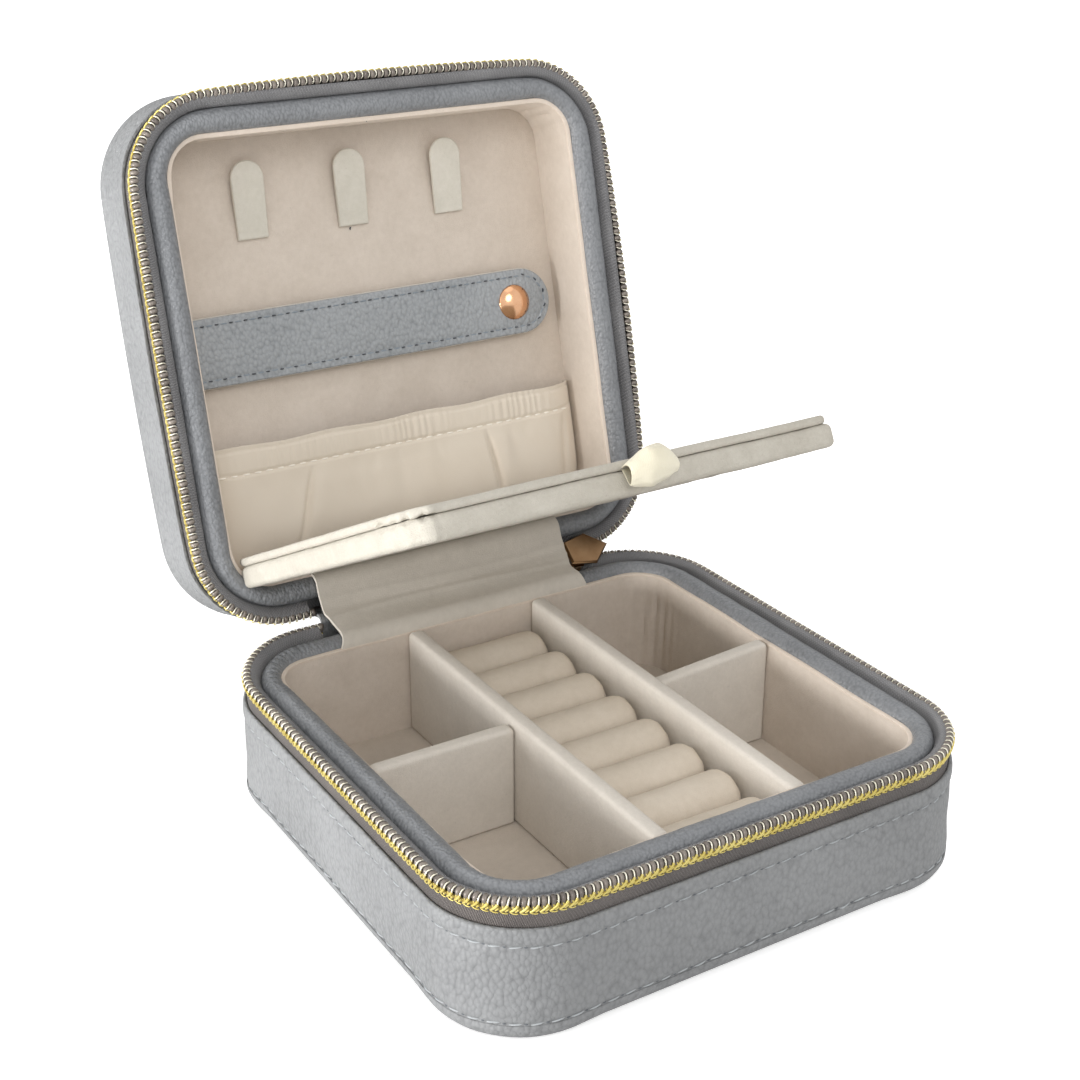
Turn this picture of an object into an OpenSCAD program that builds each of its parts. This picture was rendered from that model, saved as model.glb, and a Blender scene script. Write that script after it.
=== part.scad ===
// Travel jewelry box that zips shut. A stiff case covered in leather opens on a soft
// hinge. A padded panel tilts out of the lid and follows it. The base holds dividers and
// ring rolls, and the lid holds necklace tabs, an earring strap and a pocket.
// It is drawn open. The origin is the middle of the underside, +Y is the hinge side.

/* [Case] */
// Outside width, along the hinge
case_w = 150; // [140:1:180]
// Outside depth, front to back
case_d = 148; // [140:1:180]
// Height of the base, up to the line where the zip meets
base_h = 38.6; // [36:0.2:50]
// Height of the lid, above the line where the zip meets
lid_h = 26.4; // [25:0.2:36]
// Radius of the upright corners
corner_r = 26; // [24:1:32]
// Radius rolled on the outer edges of the base and the lid
edge_r = 4; // [2:0.5:6]
// Whole thickness of a padded side wall
side_t = 12.65; // [11.5:0.05:15]
// Radius of the inner corners
inner_r = 10; // [8:0.5:12]

/* [Layers] */
// Thickness of the leather cover
leather_t = 1; // [0.8:0.1:1.4]
// Thickness of the stiffening board
board_t = 2; // [1.6:0.1:2.6]
// Thickness of the velvet wall lining
lining_t = 1.6; // [1:0.1:2.2]
// Thickness of the velvet pad on the base's floor
floor_pad_t = 2; // [1:0.1:4]
// Thickness of the velvet pad in the lid
lid_pad_t = 1.4; // [1:0.1:3]
// Clearance between fitted pieces
fit = 0.2; // [0.1:0.05:0.4]
// Clearance round soft pieces that move
soft_gap = 0.3; // [0.2:0.05:0.5]

/* [Rim] */
// Width of the padded rim roll
roll_rim_w = 7.65; // [6:0.05:8]
// Height of the padded rim roll
rim_h = 8; // [6:0.1:10]
// Drop of the rim roll below the meeting line
rim_drop = 0.4; // [0.2:0.1:1]
// Radius of the rim roll's edges
rim_r = 3.4; // [2:0.1:3.6]

/* [Zip] */
// Width of tape seen above the leather
tape_show = 4; // [2.5:0.1:5]
// Width of tape sewn in behind the leather
tape_lap = 8; // [5:0.5:12]
// Thickness of the tape
tape_t = 0.8; // [0.6:0.1:1.2]
// Thickness of the coil
coil_d = 2.4; // [2:0.1:3]
// Gap between the two closed coils
zip_gap = 0.4; // [0.2:0.1:0.8]
// Where the coils end on the hinge side, left of the middle
zip_left = 42; // [38:1:46]
// Gap between the slider's point and the ends of the coils
coil_gap = 0.6; // [0.4:0.1:2]

/* [Hinge] */
// Angle that the lid opens to
open_angle = 104.3; // [96:0.1:110]
// Distance of the hinge line behind the case
hinge_back = 1.4; // [1.2:0.1:2]
// Width of the velvet hinge sheet, left of the middle
sheet_left = 41; // [36:1:41]
// Width of the velvet hinge sheet and the leather spine, right of the middle
sheet_right = 40; // [36:1:40]
// Thickness of the hinge sheet
sheet_t = 1; // [0.8:0.1:1.2]
// How far the hinge sheet reaches down the inner walls
sheet_tuck = 8.2; // [6:0.2:10]

/* [Dividers] */
// Height of the dividers' tops above the underside
divider_top = 35; // [31:0.5:35]
// Thickness of the long dividers
divider_t = 4.8; // [3:0.1:6]
// Thickness of the cross dividers
cross_t = 4.2; // [3:0.1:6]
// Middle of the left long divider, from the middle of the case
left_divider_x = 18.75; // [16:0.25:24]
// Middle of the right long divider, from the middle of the case
right_divider_x = 22.25; // [16:0.25:26]
// Middle of the left cross divider, towards the hinge
left_cross_y = 3.5; // [-10:0.5:20]
// Middle of the right cross divider, towards the hinge
right_cross_y = 4; // [-10:0.5:20]
// Drop of the cross dividers below the long ones
cross_drop = 1; // [0:0.1:3]
// Width of the raised ear on the right cross divider
ear_w = 9; // [5:0.5:14]
// Height of the raised ear
ear_h = 2.2; // [1:0.1:2.4]

/* [Ring bed] */
// Number of ring rolls
roll_count = 8; // [7:1:9]
// Height of the rolls' crests above the underside
roll_top = 29.5; // [27:0.5:31]
// Slit between two rolls
roll_slit = 0.35; // [0.2:0.05:1]
// Rounding of the rolls' ends
roll_end_r = 5; // [2:0.5:6]
// How far the bed's ridges stay below the rolls' middles
ridge_drop = 2.5; // [1.5:0.1:4]

/* [Necklace tabs] */
// Middle of the tabs, left of the middle of the lid
tab_mid_x = 3; // [0:0.5:6]
// Spacing of the tabs
tab_pitch = 31.75; // [26:0.25:36]
// Width of a tab
tab_w = 10; // [8:0.5:14]
// Length of a tab
tab_len = 22; // [16:0.5:26]
// Thickness of a tab
tab_t = 2; // [1.4:0.1:3]
// Gap behind a tab, where the chain hangs
tab_gap = 2.4; // [1.5:0.1:3.5]
// Length of a tab's sewn root
tab_root = 4; // [3:0.5:6]
// Distance of the tabs' round ends from the lid's inner front wall
tab_inset = 6.4; // [4:0.2:10]

/* [Earring strap] */
// Width of the strap
strap_w = 20; // [14:0.5:24]
// Thickness of the strap
strap_t = 1.8; // [1.4:0.1:2.4]
// Gap behind the strap
strap_gap = 2.4; // [2.2:0.1:3.5]
// Middle of the strap, towards the front of the closed lid
strap_y = 3.3; // [0:0.5:8]
// Distance of the strap's round end from the right wall
strap_inset = 4.4; // [2:0.2:10]
// Length of the strap's sewn root
strap_root = 4; // [3:0.5:6]
// Distance of the snap from the strap's round end
snap_inset = 13; // [10:0.5:16]
// Diameter of the snap's cap
cap_d = 10.6; // [8:0.2:12]
// Height of the snap's dome
cap_h = 2; // [1.2:0.1:2.8]
// Thickness of the cap's flange
cap_rim = 0.5; // [0.3:0.1:0.8]
// Diameter of the snap's socket and stud
snap_d = 9.2; // [8:0.2:11]
// Diameter of the snap's post
post_d = 3; // [2:0.2:3.4]
// Diameter of the stud's knob
knob_d = 4; // [3.4:0.2:5]
// Thickness of the stud's flange
stud_t = 0.8; // [0.6:0.1:1]

/* [Pocket] */
// Depth of the pocket, from its mouth to the hinge-side wall
pocket_d = 37.4; // [30:0.2:44]
// How far the pocket's cloth stands off the lid's lining
pocket_out = 8; // [7:0.2:9]
// Thickness of the pocket's cloth
cloth_t = 1; // [0.8:0.1:1.2]
// Width of the elastic band at the mouth
band_w = 8; // [6:0.5:10]
// Thickness of the elastic band
band_t = 1.4; // [1:0.1:1.8]
// How far the band lies in from the cloth's face
band_in = 0.4; // [0.2:0.1:0.6]

/* [Panel] */
// Width of the panel
panel_w = 122; // [100:0.5:123]
// Depth of the panel
panel_d = 116; // [90:0.5:116.5]
// Radius of the panel's corners
panel_r = 8; // [5:0.5:12]
// Thickness of the lower board
lower_t = 4.2; // [3:0.1:5]
// Thickness of the upper board
upper_t = 2.8; // [2:0.1:4]
// Slit between the two boards
panel_slit = 0.3; // [0.2:0.1:0.6]
// Rounding of the boards' edges
panel_edge = 1.2; // [0.6:0.1:1.3]
// Height of the closed panel above the meeting line
panel_lift = 1.4; // [1:0.1:3]
// Rise of the panel above level when the lid is open
panel_rise = 26.8; // [15:0.1:45]
// Distance of the panel's hinge line in front of its rear edge
panel_pivot = 0.5; // [0.3:0.1:2]
// Width of the ribbon tab
ribbon_w = 12; // [8:0.5:16]
// Length of the ribbon tab
ribbon_len = 9; // [6:0.5:12]
// Thickness of the ribbon
ribbon_t = 0.5; // [0.4:0.1:0.6]
// Diameter of the ribbon's fold
fold_d = 3; // [2.4:0.1:4]

/* [Zip slider] */
// Length of the slider along the zip
slider_len = 14.6; // [12:0.2:15]
// Height of the slider across the zip
slider_h = 10.8; // [9:0.2:11]
// Thickness of a slider plate
plate_t = 1; // [0.8:0.1:1.2]
// Clear space between the slider's plates
throat = 2.6; // [2.4:0.1:3]
// Distance of the pull's hinge from the case's hinge line
bail_out = 4.6; // [4.4:0.1:5.5]
// Diameter of the bail's bar
bail_d = 1.4; // [1.2:0.1:1.8]
// Clear space between the bail's legs
bail_w = 5.2; // [4.8:0.2:6]
// Length of the pull, from its hinge to its tip
pull_len = 23; // [18:0.5:26]
// Width of the pull
pull_w = 9; // [8:0.5:11]
// Thickness of the pull
pull_t = 1.4; // [1:0.1:1.8]
// Clearance of the pull's eye round the bar
eye_gap = 0.1; // [0.08:0.01:0.2]

/* [Hidden] */
$fn = 64;

// Inner opening
open_w = case_w - 2 * side_t;
open_d = case_d - 2 * side_t;
// Floors of the base and of the lid, from their outer faces
skin_t = leather_t + board_t;
base_floor = skin_t + floor_pad_t;
lid_floor = skin_t + lid_pad_t;
// Heights of the zip below the meeting line
coil_low = zip_gap / 2 + coil_d;
cover_low = coil_low + tape_show;
// The slider's own space along the tape is cut this much deeper
notch = tape_show / 2;
// Hinge line of the lid
hinge_y = case_d / 2 + hinge_back;
half_angle = open_angle / 2;
// Room that the hinge sheet takes at the inner rear wall
sheet_room = soft_gap + sheet_t;
// Ring bed
bed_x0 = -left_divider_x + divider_t / 2 + fit;
bed_x1 = right_divider_x - divider_t / 2 - fit;
roll_pitch = (open_d - 2 * fit) / roll_count;
roll_d = roll_pitch - roll_slit;
roll_z = roll_top - roll_d / 2;
// Panel, in the closed lid
panel_t = lower_t + panel_slit + upper_t;
panel_open = open_angle - panel_rise;
sheet_face = open_d / 2 - sheet_room;
panel_reach = norm([panel_pivot, panel_t / 2]);
panel_hinge = [sheet_face - 0.4 - panel_reach, base_h + panel_lift + panel_t / 2];
panel_mid_y = panel_hinge[0] + panel_pivot - panel_d / 2;
// Slider, pushed up to the edge of the hinge sheet
slider_tail = 0.48 * slider_len;
slider_shoulder = 0.09 * slider_len;
slider_point = slider_len - slider_tail;
slider_x = sheet_right + soft_gap + slider_tail;
zip_right = slider_x + slider_point + coil_gap;
throat_in = hinge_back + leather_t + tape_t + fit;
throat_out = throat_in - throat;
pull_hinge = [hinge_y + bail_out * cos(half_angle), base_h - bail_out * sin(half_angle)];
eye_d = bail_d + 2 * eye_gap + 2;
// Snap
snap_x = open_w / 2 - strap_inset - snap_inset;
strap_z = lid_floor + strap_gap;
band_z = lid_floor + pocket_out - band_in - band_t;

// ---------------------------------------------------------------- shared shapes

// Rounded rectangle
module rounded(w, d, r) {
    square([w, d - 2 * r], center = true);
    square([w - 2 * r, d], center = true);
    for (x = [-1, 1], y = [-1, 1])
        translate([x * (w / 2 - r), y * (d / 2 - r)]) circle(r = r);
}

// What a round corner takes off a square one
module corner_off(r) difference() {
    square(r + 1);
    circle(r = r);
}

// Section of a slab's edge: x runs out from the corner's centre
module edge_section(r, h, top_r, low_r) difference() {
    square([r, h]);
    if (top_r > 0) translate([r - top_r, h - top_r]) corner_off(top_r);
    if (low_r > 0) translate([r - low_r, low_r]) mirror([0, 1]) corner_off(low_r);
}

// One straight side of a swept section
module swept_side(off, len)
    translate([off, len / 2, 0]) rotate([90, 0, 0]) linear_extrude(len) children();

// A section swept round a rounded rectangle
module swept(w, d, r) for (turn = [0, 180]) rotate(turn) {
    swept_side(w / 2 - r, d - 2 * r) children();
    rotate(90) swept_side(d / 2 - r, w - 2 * r) children();
    translate([w / 2 - r, d / 2 - r]) rotate_extrude(angle = 90) children();
    translate([r - w / 2, d / 2 - r]) rotate(90) rotate_extrude(angle = 90) children();
}

// Rounded slab with rounded edges
module slab(w, d, h, r, top_r, low_r) {
    swept(w, d, r) edge_section(r, h, top_r, low_r);
    linear_extrude(h) square([w - 2 * r, d - 2 * r], center = true);
}

// Upright wall between two rounded rectangles
module wall(outer, outer_r, inner, r, z0, z1)
    translate([0, 0, z0]) linear_extrude(z1 - z0) difference() {
        rounded(outer[0], outer[1], outer_r);
        rounded(inner[0], inner[1], r);
    }

// Flat strip of even thickness along a line of points
function along(p, i) = let (
        a = p[max(i - 1, 0)], b = p[min(i + 1, len(p) - 1)]
    ) (b - a) / norm(b - a);
function beside(p, i, off) = let (d = along(p, i)) p[i] + off * [-d[1], d[0]];
module strip(p, t) polygon(concat(
    [for (i = [0:len(p) - 1]) beside(p, i, t / 2)],
    [for (i = [len(p) - 1:-1:0]) beside(p, i, -t / 2)]));
function arc(c, r, a0, a1, n) = [for (i = [0:n]) let (a = a0 + (a1 - a0) * i / n)
    c + r * [cos(a), sin(a)]];

// A section drawn in Y and Z, drawn out along X
module along_x(x0, x1)
    translate([x0, 0, 0]) rotate([90, 0, 90]) linear_extrude(x1 - x0) children();

// ---------------------------------------------------------------- places

// Turn about the lid's hinge line
module about_hinge(angle)
    translate([0, hinge_y, base_h]) rotate([angle, 0, 0])
        translate([0, -hinge_y, -base_h]) children();

// The lid, drawn lying on its outer face like a second tray
module in_lid() about_hinge(-open_angle)
    translate([0, 0, base_h + lid_h]) mirror([0, 0, 1]) children();

// The panel, drawn in the closed box
module in_panel() about_hinge(-open_angle)
    translate([0, panel_hinge[0], panel_hinge[1]]) rotate([panel_open, 0, 0])
        translate([0, -panel_hinge[0], -panel_hinge[1]]) children();

// ---------------------------------------------------------------- half of the case

function cover_top(h) = h - cover_low;
function rim_low(h) = h - rim_drop - rim_h;
function inset_size(t) = [case_w - 2 * t, case_d - 2 * t];

// Cover on the large outer face, turned round the edge
module face_cover() difference() {
    slab(case_w, case_d, edge_r, corner_r, 0, edge_r);
    translate([0, 0, leather_t])
        slab(case_w - 2 * leather_t, case_d - 2 * leather_t, edge_r,
             corner_r - leather_t, 0, edge_r - leather_t);
}

module side_cover(h)
    wall(inset_size(0), corner_r, inset_size(leather_t), corner_r - leather_t,
         edge_r, cover_top(h));

// Stiff tray under the leather, stepped back at the top for the zip tape
module board(h) difference() {
    translate([0, 0, leather_t])
        slab(case_w - 2 * leather_t, case_d - 2 * leather_t, cover_top(h) - leather_t,
             corner_r - leather_t, 0, edge_r - leather_t);
    translate([0, 0, skin_t]) linear_extrude(h)
        rounded(case_w - 2 * skin_t, case_d - 2 * skin_t, corner_r - skin_t);
    wall(inset_size(0), corner_r, inset_size(leather_t + tape_t),
         corner_r - leather_t - tape_t, cover_top(h) - tape_lap, h);
}

module padding(h)
    wall(inset_size(skin_t), corner_r - skin_t,
         [open_w + 2 * lining_t, open_d + 2 * lining_t], inner_r + lining_t,
         skin_t, rim_low(h));

module lining(h)
    wall([open_w + 2 * lining_t, open_d + 2 * lining_t], inner_r + lining_t,
         [open_w, open_d], inner_r, skin_t, rim_low(h));

module floor_pad(t)
    translate([0, 0, skin_t]) linear_extrude(t) rounded(open_w, open_d, inner_r);

module rim_roll(h)
    swept(open_w, open_d, inner_r) translate([inner_r, rim_low(h)]) difference() {
        square([roll_rim_w, rim_h]);
        translate([roll_rim_w - rim_r, rim_h - rim_r]) corner_off(rim_r);
        translate([rim_r, rim_h - rim_r]) mirror([1, 0]) corner_off(rim_r);
    }

// Space on the hinge side where the zip stops
module hinge_gap(x0, x1, z0, z1)
    translate([x0, 0, z0]) cube([x1 - x0, case_d, z1 - z0]);

module zip_tape(h) difference() {
    wall(inset_size(leather_t), corner_r - leather_t, inset_size(leather_t + tape_t),
         corner_r - leather_t - tape_t, cover_top(h) - tape_lap, h - coil_low);
    hinge_gap(-zip_left, sheet_right, 0, h);
    hinge_gap(0, zip_right, h - coil_low - notch, h);
}

module zip_coil(h) difference() {
    swept(case_w, case_d, corner_r)
        translate([corner_r - leather_t - tape_t / 2, h - coil_low + coil_d / 2])
            circle(d = coil_d);
    hinge_gap(-zip_left, zip_right, 0, h);
}

// ---------------------------------------------------------------- base

module base_bottom_cover() color("#9ba2aa") face_cover();
module base_side_cover() color("#a3abb3") side_cover(base_h);
module base_board() color("#8d8272") board(base_h);
module base_padding() color("#e6e2d8") padding(base_h);
module base_lining() color("#cfc5b8") lining(base_h);
module base_floor_pad() color("#b9b0a2") floor_pad(floor_pad_t);
module base_rim_roll() color("#8b9097") rim_roll(base_h);
module base_zip_tape() color("#6e6864") zip_tape(base_h);
module base_zip_coil() color("#c9b45a") zip_coil(base_h);

// Board on edge with a softened top, standing on the floor along Y
module divider(len, t, top) {
    soft = t / 4;
    translate([0, len / 2, base_floor]) rotate([90, 0, 0]) linear_extrude(len)
        difference() {
            translate([-t / 2, 0]) square([t, top - base_floor]);
            for (side = [0, 1]) mirror([side, 0])
                translate([t / 2 - soft, top - base_floor - soft]) corner_off(soft);
        }
}

// A long divider ends in front of the hinge sheet, which hangs down the rear wall
module long_divider(x) translate([x, -sheet_room / 2, 0])
    divider(open_d - 2 * fit - sheet_room, divider_t, divider_top);

module long_divider_left() color("#c9c3ba") long_divider(-left_divider_x);
module long_divider_right() color("#c9c3ba") long_divider(right_divider_x);

module cross_divider_left() color("#c9c3ba") {
    len = open_w / 2 - left_divider_x - divider_t / 2 - 2 * fit;
    translate([fit + len / 2 - open_w / 2, left_cross_y, 0]) rotate(90)
        divider(len, cross_t, divider_top - cross_drop);
}

module cross_divider_right() color("#c9c3ba") {
    len = open_w / 2 - right_divider_x - divider_t / 2 - 2 * fit;
    ear_r = 3;
    translate([open_w / 2 - fit - len / 2, right_cross_y, 0]) rotate(90)
        divider(len, cross_t, divider_top - cross_drop);
    translate([open_w / 2 - fit - ear_w, right_cross_y + cross_t / 2, base_floor])
        rotate([90, 0, 0]) linear_extrude(cross_t) difference() {
            square([ear_w, divider_top - cross_drop + ear_h - base_floor]);
            for (side = [0, 1])
                translate([ear_w * side, divider_top - cross_drop + ear_h - base_floor])
                    mirror([1 - side, 0]) translate([-ear_r, -ear_r]) corner_off(ear_r);
        }
}

function roll_y(i) = (i - 0.5 - roll_count / 2) * roll_pitch;

// Foam bed with a trough under each roll
module ring_bed() color("#bdb3a4") difference() {
    translate([bed_x0, -open_d / 2 + fit, base_floor])
        cube([bed_x1 - bed_x0, open_d - 2 * fit, roll_z - ridge_drop - base_floor]);
    for (i = [1:roll_count])
        translate([bed_x0 - 1, roll_y(i), roll_z]) rotate([0, 90, 0])
            cylinder(d = roll_d, h = bed_x1 - bed_x0 + 2);
}

module ring_roll(i) color("#d6ccbc") {
    half = (bed_x1 - bed_x0) / 2 - fit;
    translate([(bed_x0 + bed_x1) / 2, roll_y(i), roll_z]) rotate([0, 90, 0])
        rotate_extrude() for (side = [0, 1]) mirror([0, side])
            edge_section(roll_d / 2, half, roll_end_r, 0);
}

// ---------------------------------------------------------------- soft hinge

// The base's half of a line in Y and Z, joined to the lid's half, its mirror image
function across(p) = let (u = [-cos(half_angle), sin(half_angle)], h = [hinge_y, base_h])
    concat(p, [for (i = [len(p) - 1:-1:0]) let (v = p[i] - h) h + 2 * (v * u) * u - v]);

// Velvet sheet over both rim rolls
module hinge_sheet() color("#c4bcae") {
    off = soft_gap + sheet_t / 2;
    top = base_h - rim_drop;
    bend = [open_d / 2 + rim_r, top - rim_r];
    k = (hinge_y - bend[0]) / cos(half_angle);
    sag = [bend[0], base_h + k * sin(half_angle)];
    path = concat(
        [[open_d / 2 - off, top - sheet_tuck]],
        arc(bend, rim_r + off, 180, 90, 8),
        arc(sag, sag[1] - top - off, -86, -half_angle - 2, 6));
    along_x(-sheet_left, sheet_right) strip(across(path), sheet_t);
}

// Leather spine bent round the hinge line
module hinge_spine() color("#8b9299") {
    r = hinge_back + leather_t / 2;
    path = concat(
        [[hinge_y - r, base_h - cover_low], [hinge_y - r, base_h - 1]],
        arc([hinge_y, base_h], r, 180, 184 - half_angle, 6));
    along_x(-zip_left, sheet_right) strip(across(path), leather_t);
}

// ---------------------------------------------------------------- lid

module lid_top_cover() color("#9ba2aa") in_lid() face_cover();
module lid_side_cover() color("#a3abb3") in_lid() side_cover(lid_h);
module lid_board() color("#8d8272") in_lid() board(lid_h);
module lid_padding() color("#e6e2d8") in_lid() padding(lid_h);
module lid_lining() color("#cfc5b8") in_lid() lining(lid_h);
module lid_back_pad() color("#c9bfb2") in_lid() floor_pad(lid_pad_t);
module lid_rim_roll() color("#8b9097") in_lid() rim_roll(lid_h);
module lid_zip_tape() color("#6e6864") in_lid() zip_tape(lid_h);
module lid_zip_coil() color("#c9b45a") in_lid() zip_coil(lid_h);

// Flat tab with one round end, sewn down at its other end
module necklace_tab(i) color("#d3cec2") in_lid()
    translate([(i - 2) * tab_pitch - tab_mid_x, tab_inset - open_d / 2, lid_floor]) {
        translate([0, 0, tab_gap]) linear_extrude(tab_t) {
            translate([0, tab_w / 2]) circle(d = tab_w);
            translate([-tab_w / 2, tab_w / 2]) square([tab_w, tab_len - tab_w / 2]);
        }
        translate([-tab_w / 2, tab_len - tab_root, 0]) cube([tab_w, tab_root, tab_gap]);
    }

module earring_strap() color("#8f98a1") in_lid() {
    root_x = fit - open_w / 2;
    end_x = open_w / 2 - strap_inset - strap_w / 2;
    difference() {
        translate([0, 0, strap_z]) linear_extrude(strap_t) {
            translate([root_x, -strap_y - strap_w / 2]) square([end_x - root_x, strap_w]);
            translate([end_x, -strap_y]) circle(d = strap_w);
        }
        translate([snap_x, -strap_y, 0]) cylinder(d = post_d + fit, h = lid_h);
    }
    translate([root_x, -strap_y - strap_w / 2, lid_floor])
        cube([strap_root, strap_w, strap_gap]);
}

module at_snap(z) translate([snap_x, -strap_y, z]) children();

// Domed cap with the post that passes through the strap
module snap_cap() color("#c98b5a") in_lid() {
    dome_r = (pow(cap_d / 2, 2) + pow(cap_h, 2)) / (2 * cap_h);
    at_snap(strap_z + strap_t) {
        cylinder(d = cap_d, h = cap_rim);
        translate([0, 0, cap_rim]) rotate_extrude() intersection() {
            translate([0, cap_h - dome_r]) circle(r = dome_r);
            square([cap_d / 2, cap_h]);
        }
    }
    at_snap(strap_z) cylinder(d = post_d, h = strap_t);
}

module snap_socket() color("#b08258") in_lid() at_snap(lid_floor + stud_t) difference() {
    cylinder(d = snap_d, h = strap_gap - stud_t);
    translate([0, 0, -1]) cylinder(d = knob_d + 2 * fit, h = strap_gap + 1);
}

module snap_stud() color("#b08258") in_lid() at_snap(lid_floor) {
    cylinder(d = snap_d, h = stud_t);
    cylinder(d = knob_d, h = strap_gap - fit);
}

// Plan of the pocket, inset from the lid's walls
module pocket_plan(inset, from, to) intersection() {
    rounded(open_w - 2 * inset, open_d - 2 * inset, inner_r - inset);
    translate([-open_w / 2, open_d / 2 - pocket_d + from]) square([open_w, to - from]);
}

module pocket_cloth() color("#dcd2be") in_lid() translate([0, 0, lid_floor]) difference() {
    linear_extrude(pocket_out) pocket_plan(fit, band_w, pocket_d);
    translate([0, 0, -1]) linear_extrude(pocket_out - cloth_t + 1)
        pocket_plan(fit + cloth_t, band_w - 1, pocket_d);
}

module pocket_band() color("#e0d6c4") in_lid() translate([0, 0, lid_floor]) difference() {
    linear_extrude(pocket_out - band_in) pocket_plan(fit, 0, band_w);
    translate([0, 0, -1]) linear_extrude(pocket_out - band_in - band_t + 1)
        pocket_plan(fit + cloth_t, -1, band_w + 1);
}

// ---------------------------------------------------------------- panel

module panel_board(z, t) in_panel()
    translate([0, panel_mid_y, base_h + panel_lift + z])
        slab(panel_w, panel_d, t, panel_r, panel_edge, panel_edge);

module panel_lower_board() color("#cdc8bd") panel_board(0, lower_t);
module panel_upper_board() color("#d6d1c6") panel_board(lower_t + panel_slit, upper_t);

// Loop of ribbon that stands out of the slit at the front
module panel_ribbon() color("#f0e8cc") in_panel()
    translate([0, panel_mid_y - panel_d / 2, base_h + panel_lift + lower_t + panel_slit / 2])
        along_x(-ribbon_w / 2, ribbon_w / 2) {
            difference() {
                union() {
                    translate([-ribbon_len + fold_d / 2, 0]) circle(d = fold_d);
                    translate([-ribbon_len + fold_d / 2, -fold_d / 2])
                        square([ribbon_len - fold_d / 2 - fit, fold_d]);
                }
                translate([-ribbon_len + fold_d / 2, 0]) circle(d = fold_d - 2 * ribbon_t);
                translate([-ribbon_len + fold_d / 2, ribbon_t - fold_d / 2])
                    square([ribbon_len - fold_d / 2 - fit - ribbon_t, fold_d - 2 * ribbon_t]);
            }
        }

// ---------------------------------------------------------------- zip slider

// Plate straight at one end and pointed at the other, with a bevel round its top
module slider_plate(h) {
    rim = [[-slider_tail, -h * 0.35], [slider_shoulder, -h / 2], [slider_point, 0],
           [slider_shoulder, h / 2], [-slider_tail, h * 0.35]];
    n = len(rim);
    bevel = plate_t / 2;
    polyhedron(
        concat([for (p = rim) [p[0], p[1], 0]],
               [for (p = rim) [p[0], p[1], plate_t - bevel]],
               [for (p = rim) concat(p * (1 - 2 * bevel / h), plate_t)]),
        concat([[for (i = [0:n - 1]) i], [for (i = [3 * n - 1:-1:2 * n]) i]],
               [for (ring = [0, n], i = [0:n - 1]) let (next = (i + 1) % n)
                   [ring + i, ring + n + i, ring + n + next, ring + next]]));
}

// Slider plate parallel to the closed zip, at this distance behind the hinge line
module at_slider(y, turn) translate([slider_x, hinge_y + y, base_h])
    rotate([turn, 0, 0]) children();

module slider_body() color("#8a6844") about_hinge(-half_angle) {
    at_slider(-throat_in, 90) slider_plate(slider_h);
    at_slider(-throat_out, -90) slider_plate(slider_h * 0.8);
    translate([slider_x + slider_shoulder, hinge_y - throat_in, base_h - coil_d / 2])
        cube([slider_len / 4, throat, coil_d]);
}

// Two legs and the bar that the pull hangs on
module slider_bail() color("#8a6844") about_hinge(-half_angle) {
    leg = bail_d;
    reach = bail_out + throat_out - plate_t;
    for (side = [-1, 1])
        translate([slider_x + side * (bail_w + leg) / 2 - leg / 2,
                   hinge_y + bail_out - reach, base_h - bail_d / 2])
            cube([leg, reach, bail_d]);
    translate([slider_x - bail_w / 2 - leg, hinge_y + bail_out, base_h]) rotate([0, 90, 0])
        cylinder(d = bail_d, h = bail_w + 2 * leg);
}

module pull_tab() color("#8f6d48") translate([slider_x, pull_hinge[0], pull_hinge[1]]) {
    eye_w = bail_w - 4 * fit;
    neck = eye_d / 2 + 2;
    difference() {
        union() {
            translate([-eye_w / 2, 0, 0]) rotate([0, 90, 0]) cylinder(d = eye_d, h = eye_w);
            translate([-eye_w / 2, -pull_t / 2, -neck - 1]) cube([eye_w, pull_t, neck + 1]);
        }
        translate([-eye_w, 0, 0]) rotate([0, 90, 0])
            cylinder(d = bail_d + 2 * eye_gap, h = 2 * eye_w);
    }
    translate([0, pull_t / 2, -(neck + pull_len) / 2]) rotate([90, 0, 0])
        linear_extrude(pull_t) rounded(pull_w, pull_len - neck, pull_w / 4);
}

base_bottom_cover();
base_side_cover();
base_board();
base_padding();
base_lining();
base_floor_pad();
base_rim_roll();
base_zip_tape();
base_zip_coil();
long_divider_left();
long_divider_right();
cross_divider_left();
cross_divider_right();
ring_bed();
for (i = [1:roll_count]) ring_roll(i);
hinge_sheet();
hinge_spine();
lid_top_cover();
lid_side_cover();
lid_board();
lid_padding();
lid_lining();
lid_back_pad();
lid_rim_roll();
lid_zip_tape();
lid_zip_coil();
for (i = [1:3]) necklace_tab(i);
earring_strap();
snap_cap();
snap_socket();
snap_stud();
pocket_cloth();
pocket_band();
panel_lower_board();
panel_upper_board();
panel_ribbon();
slider_body();
slider_bail();
pull_tab();
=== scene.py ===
# Travel jewelry box: a leather case lined with velvet, drawn open on its soft hinge.
import random
from math import cos, exp, pi, radians, sin

import bpy
import numpy as np
from mathutils import Matrix, Vector, noise


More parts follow.
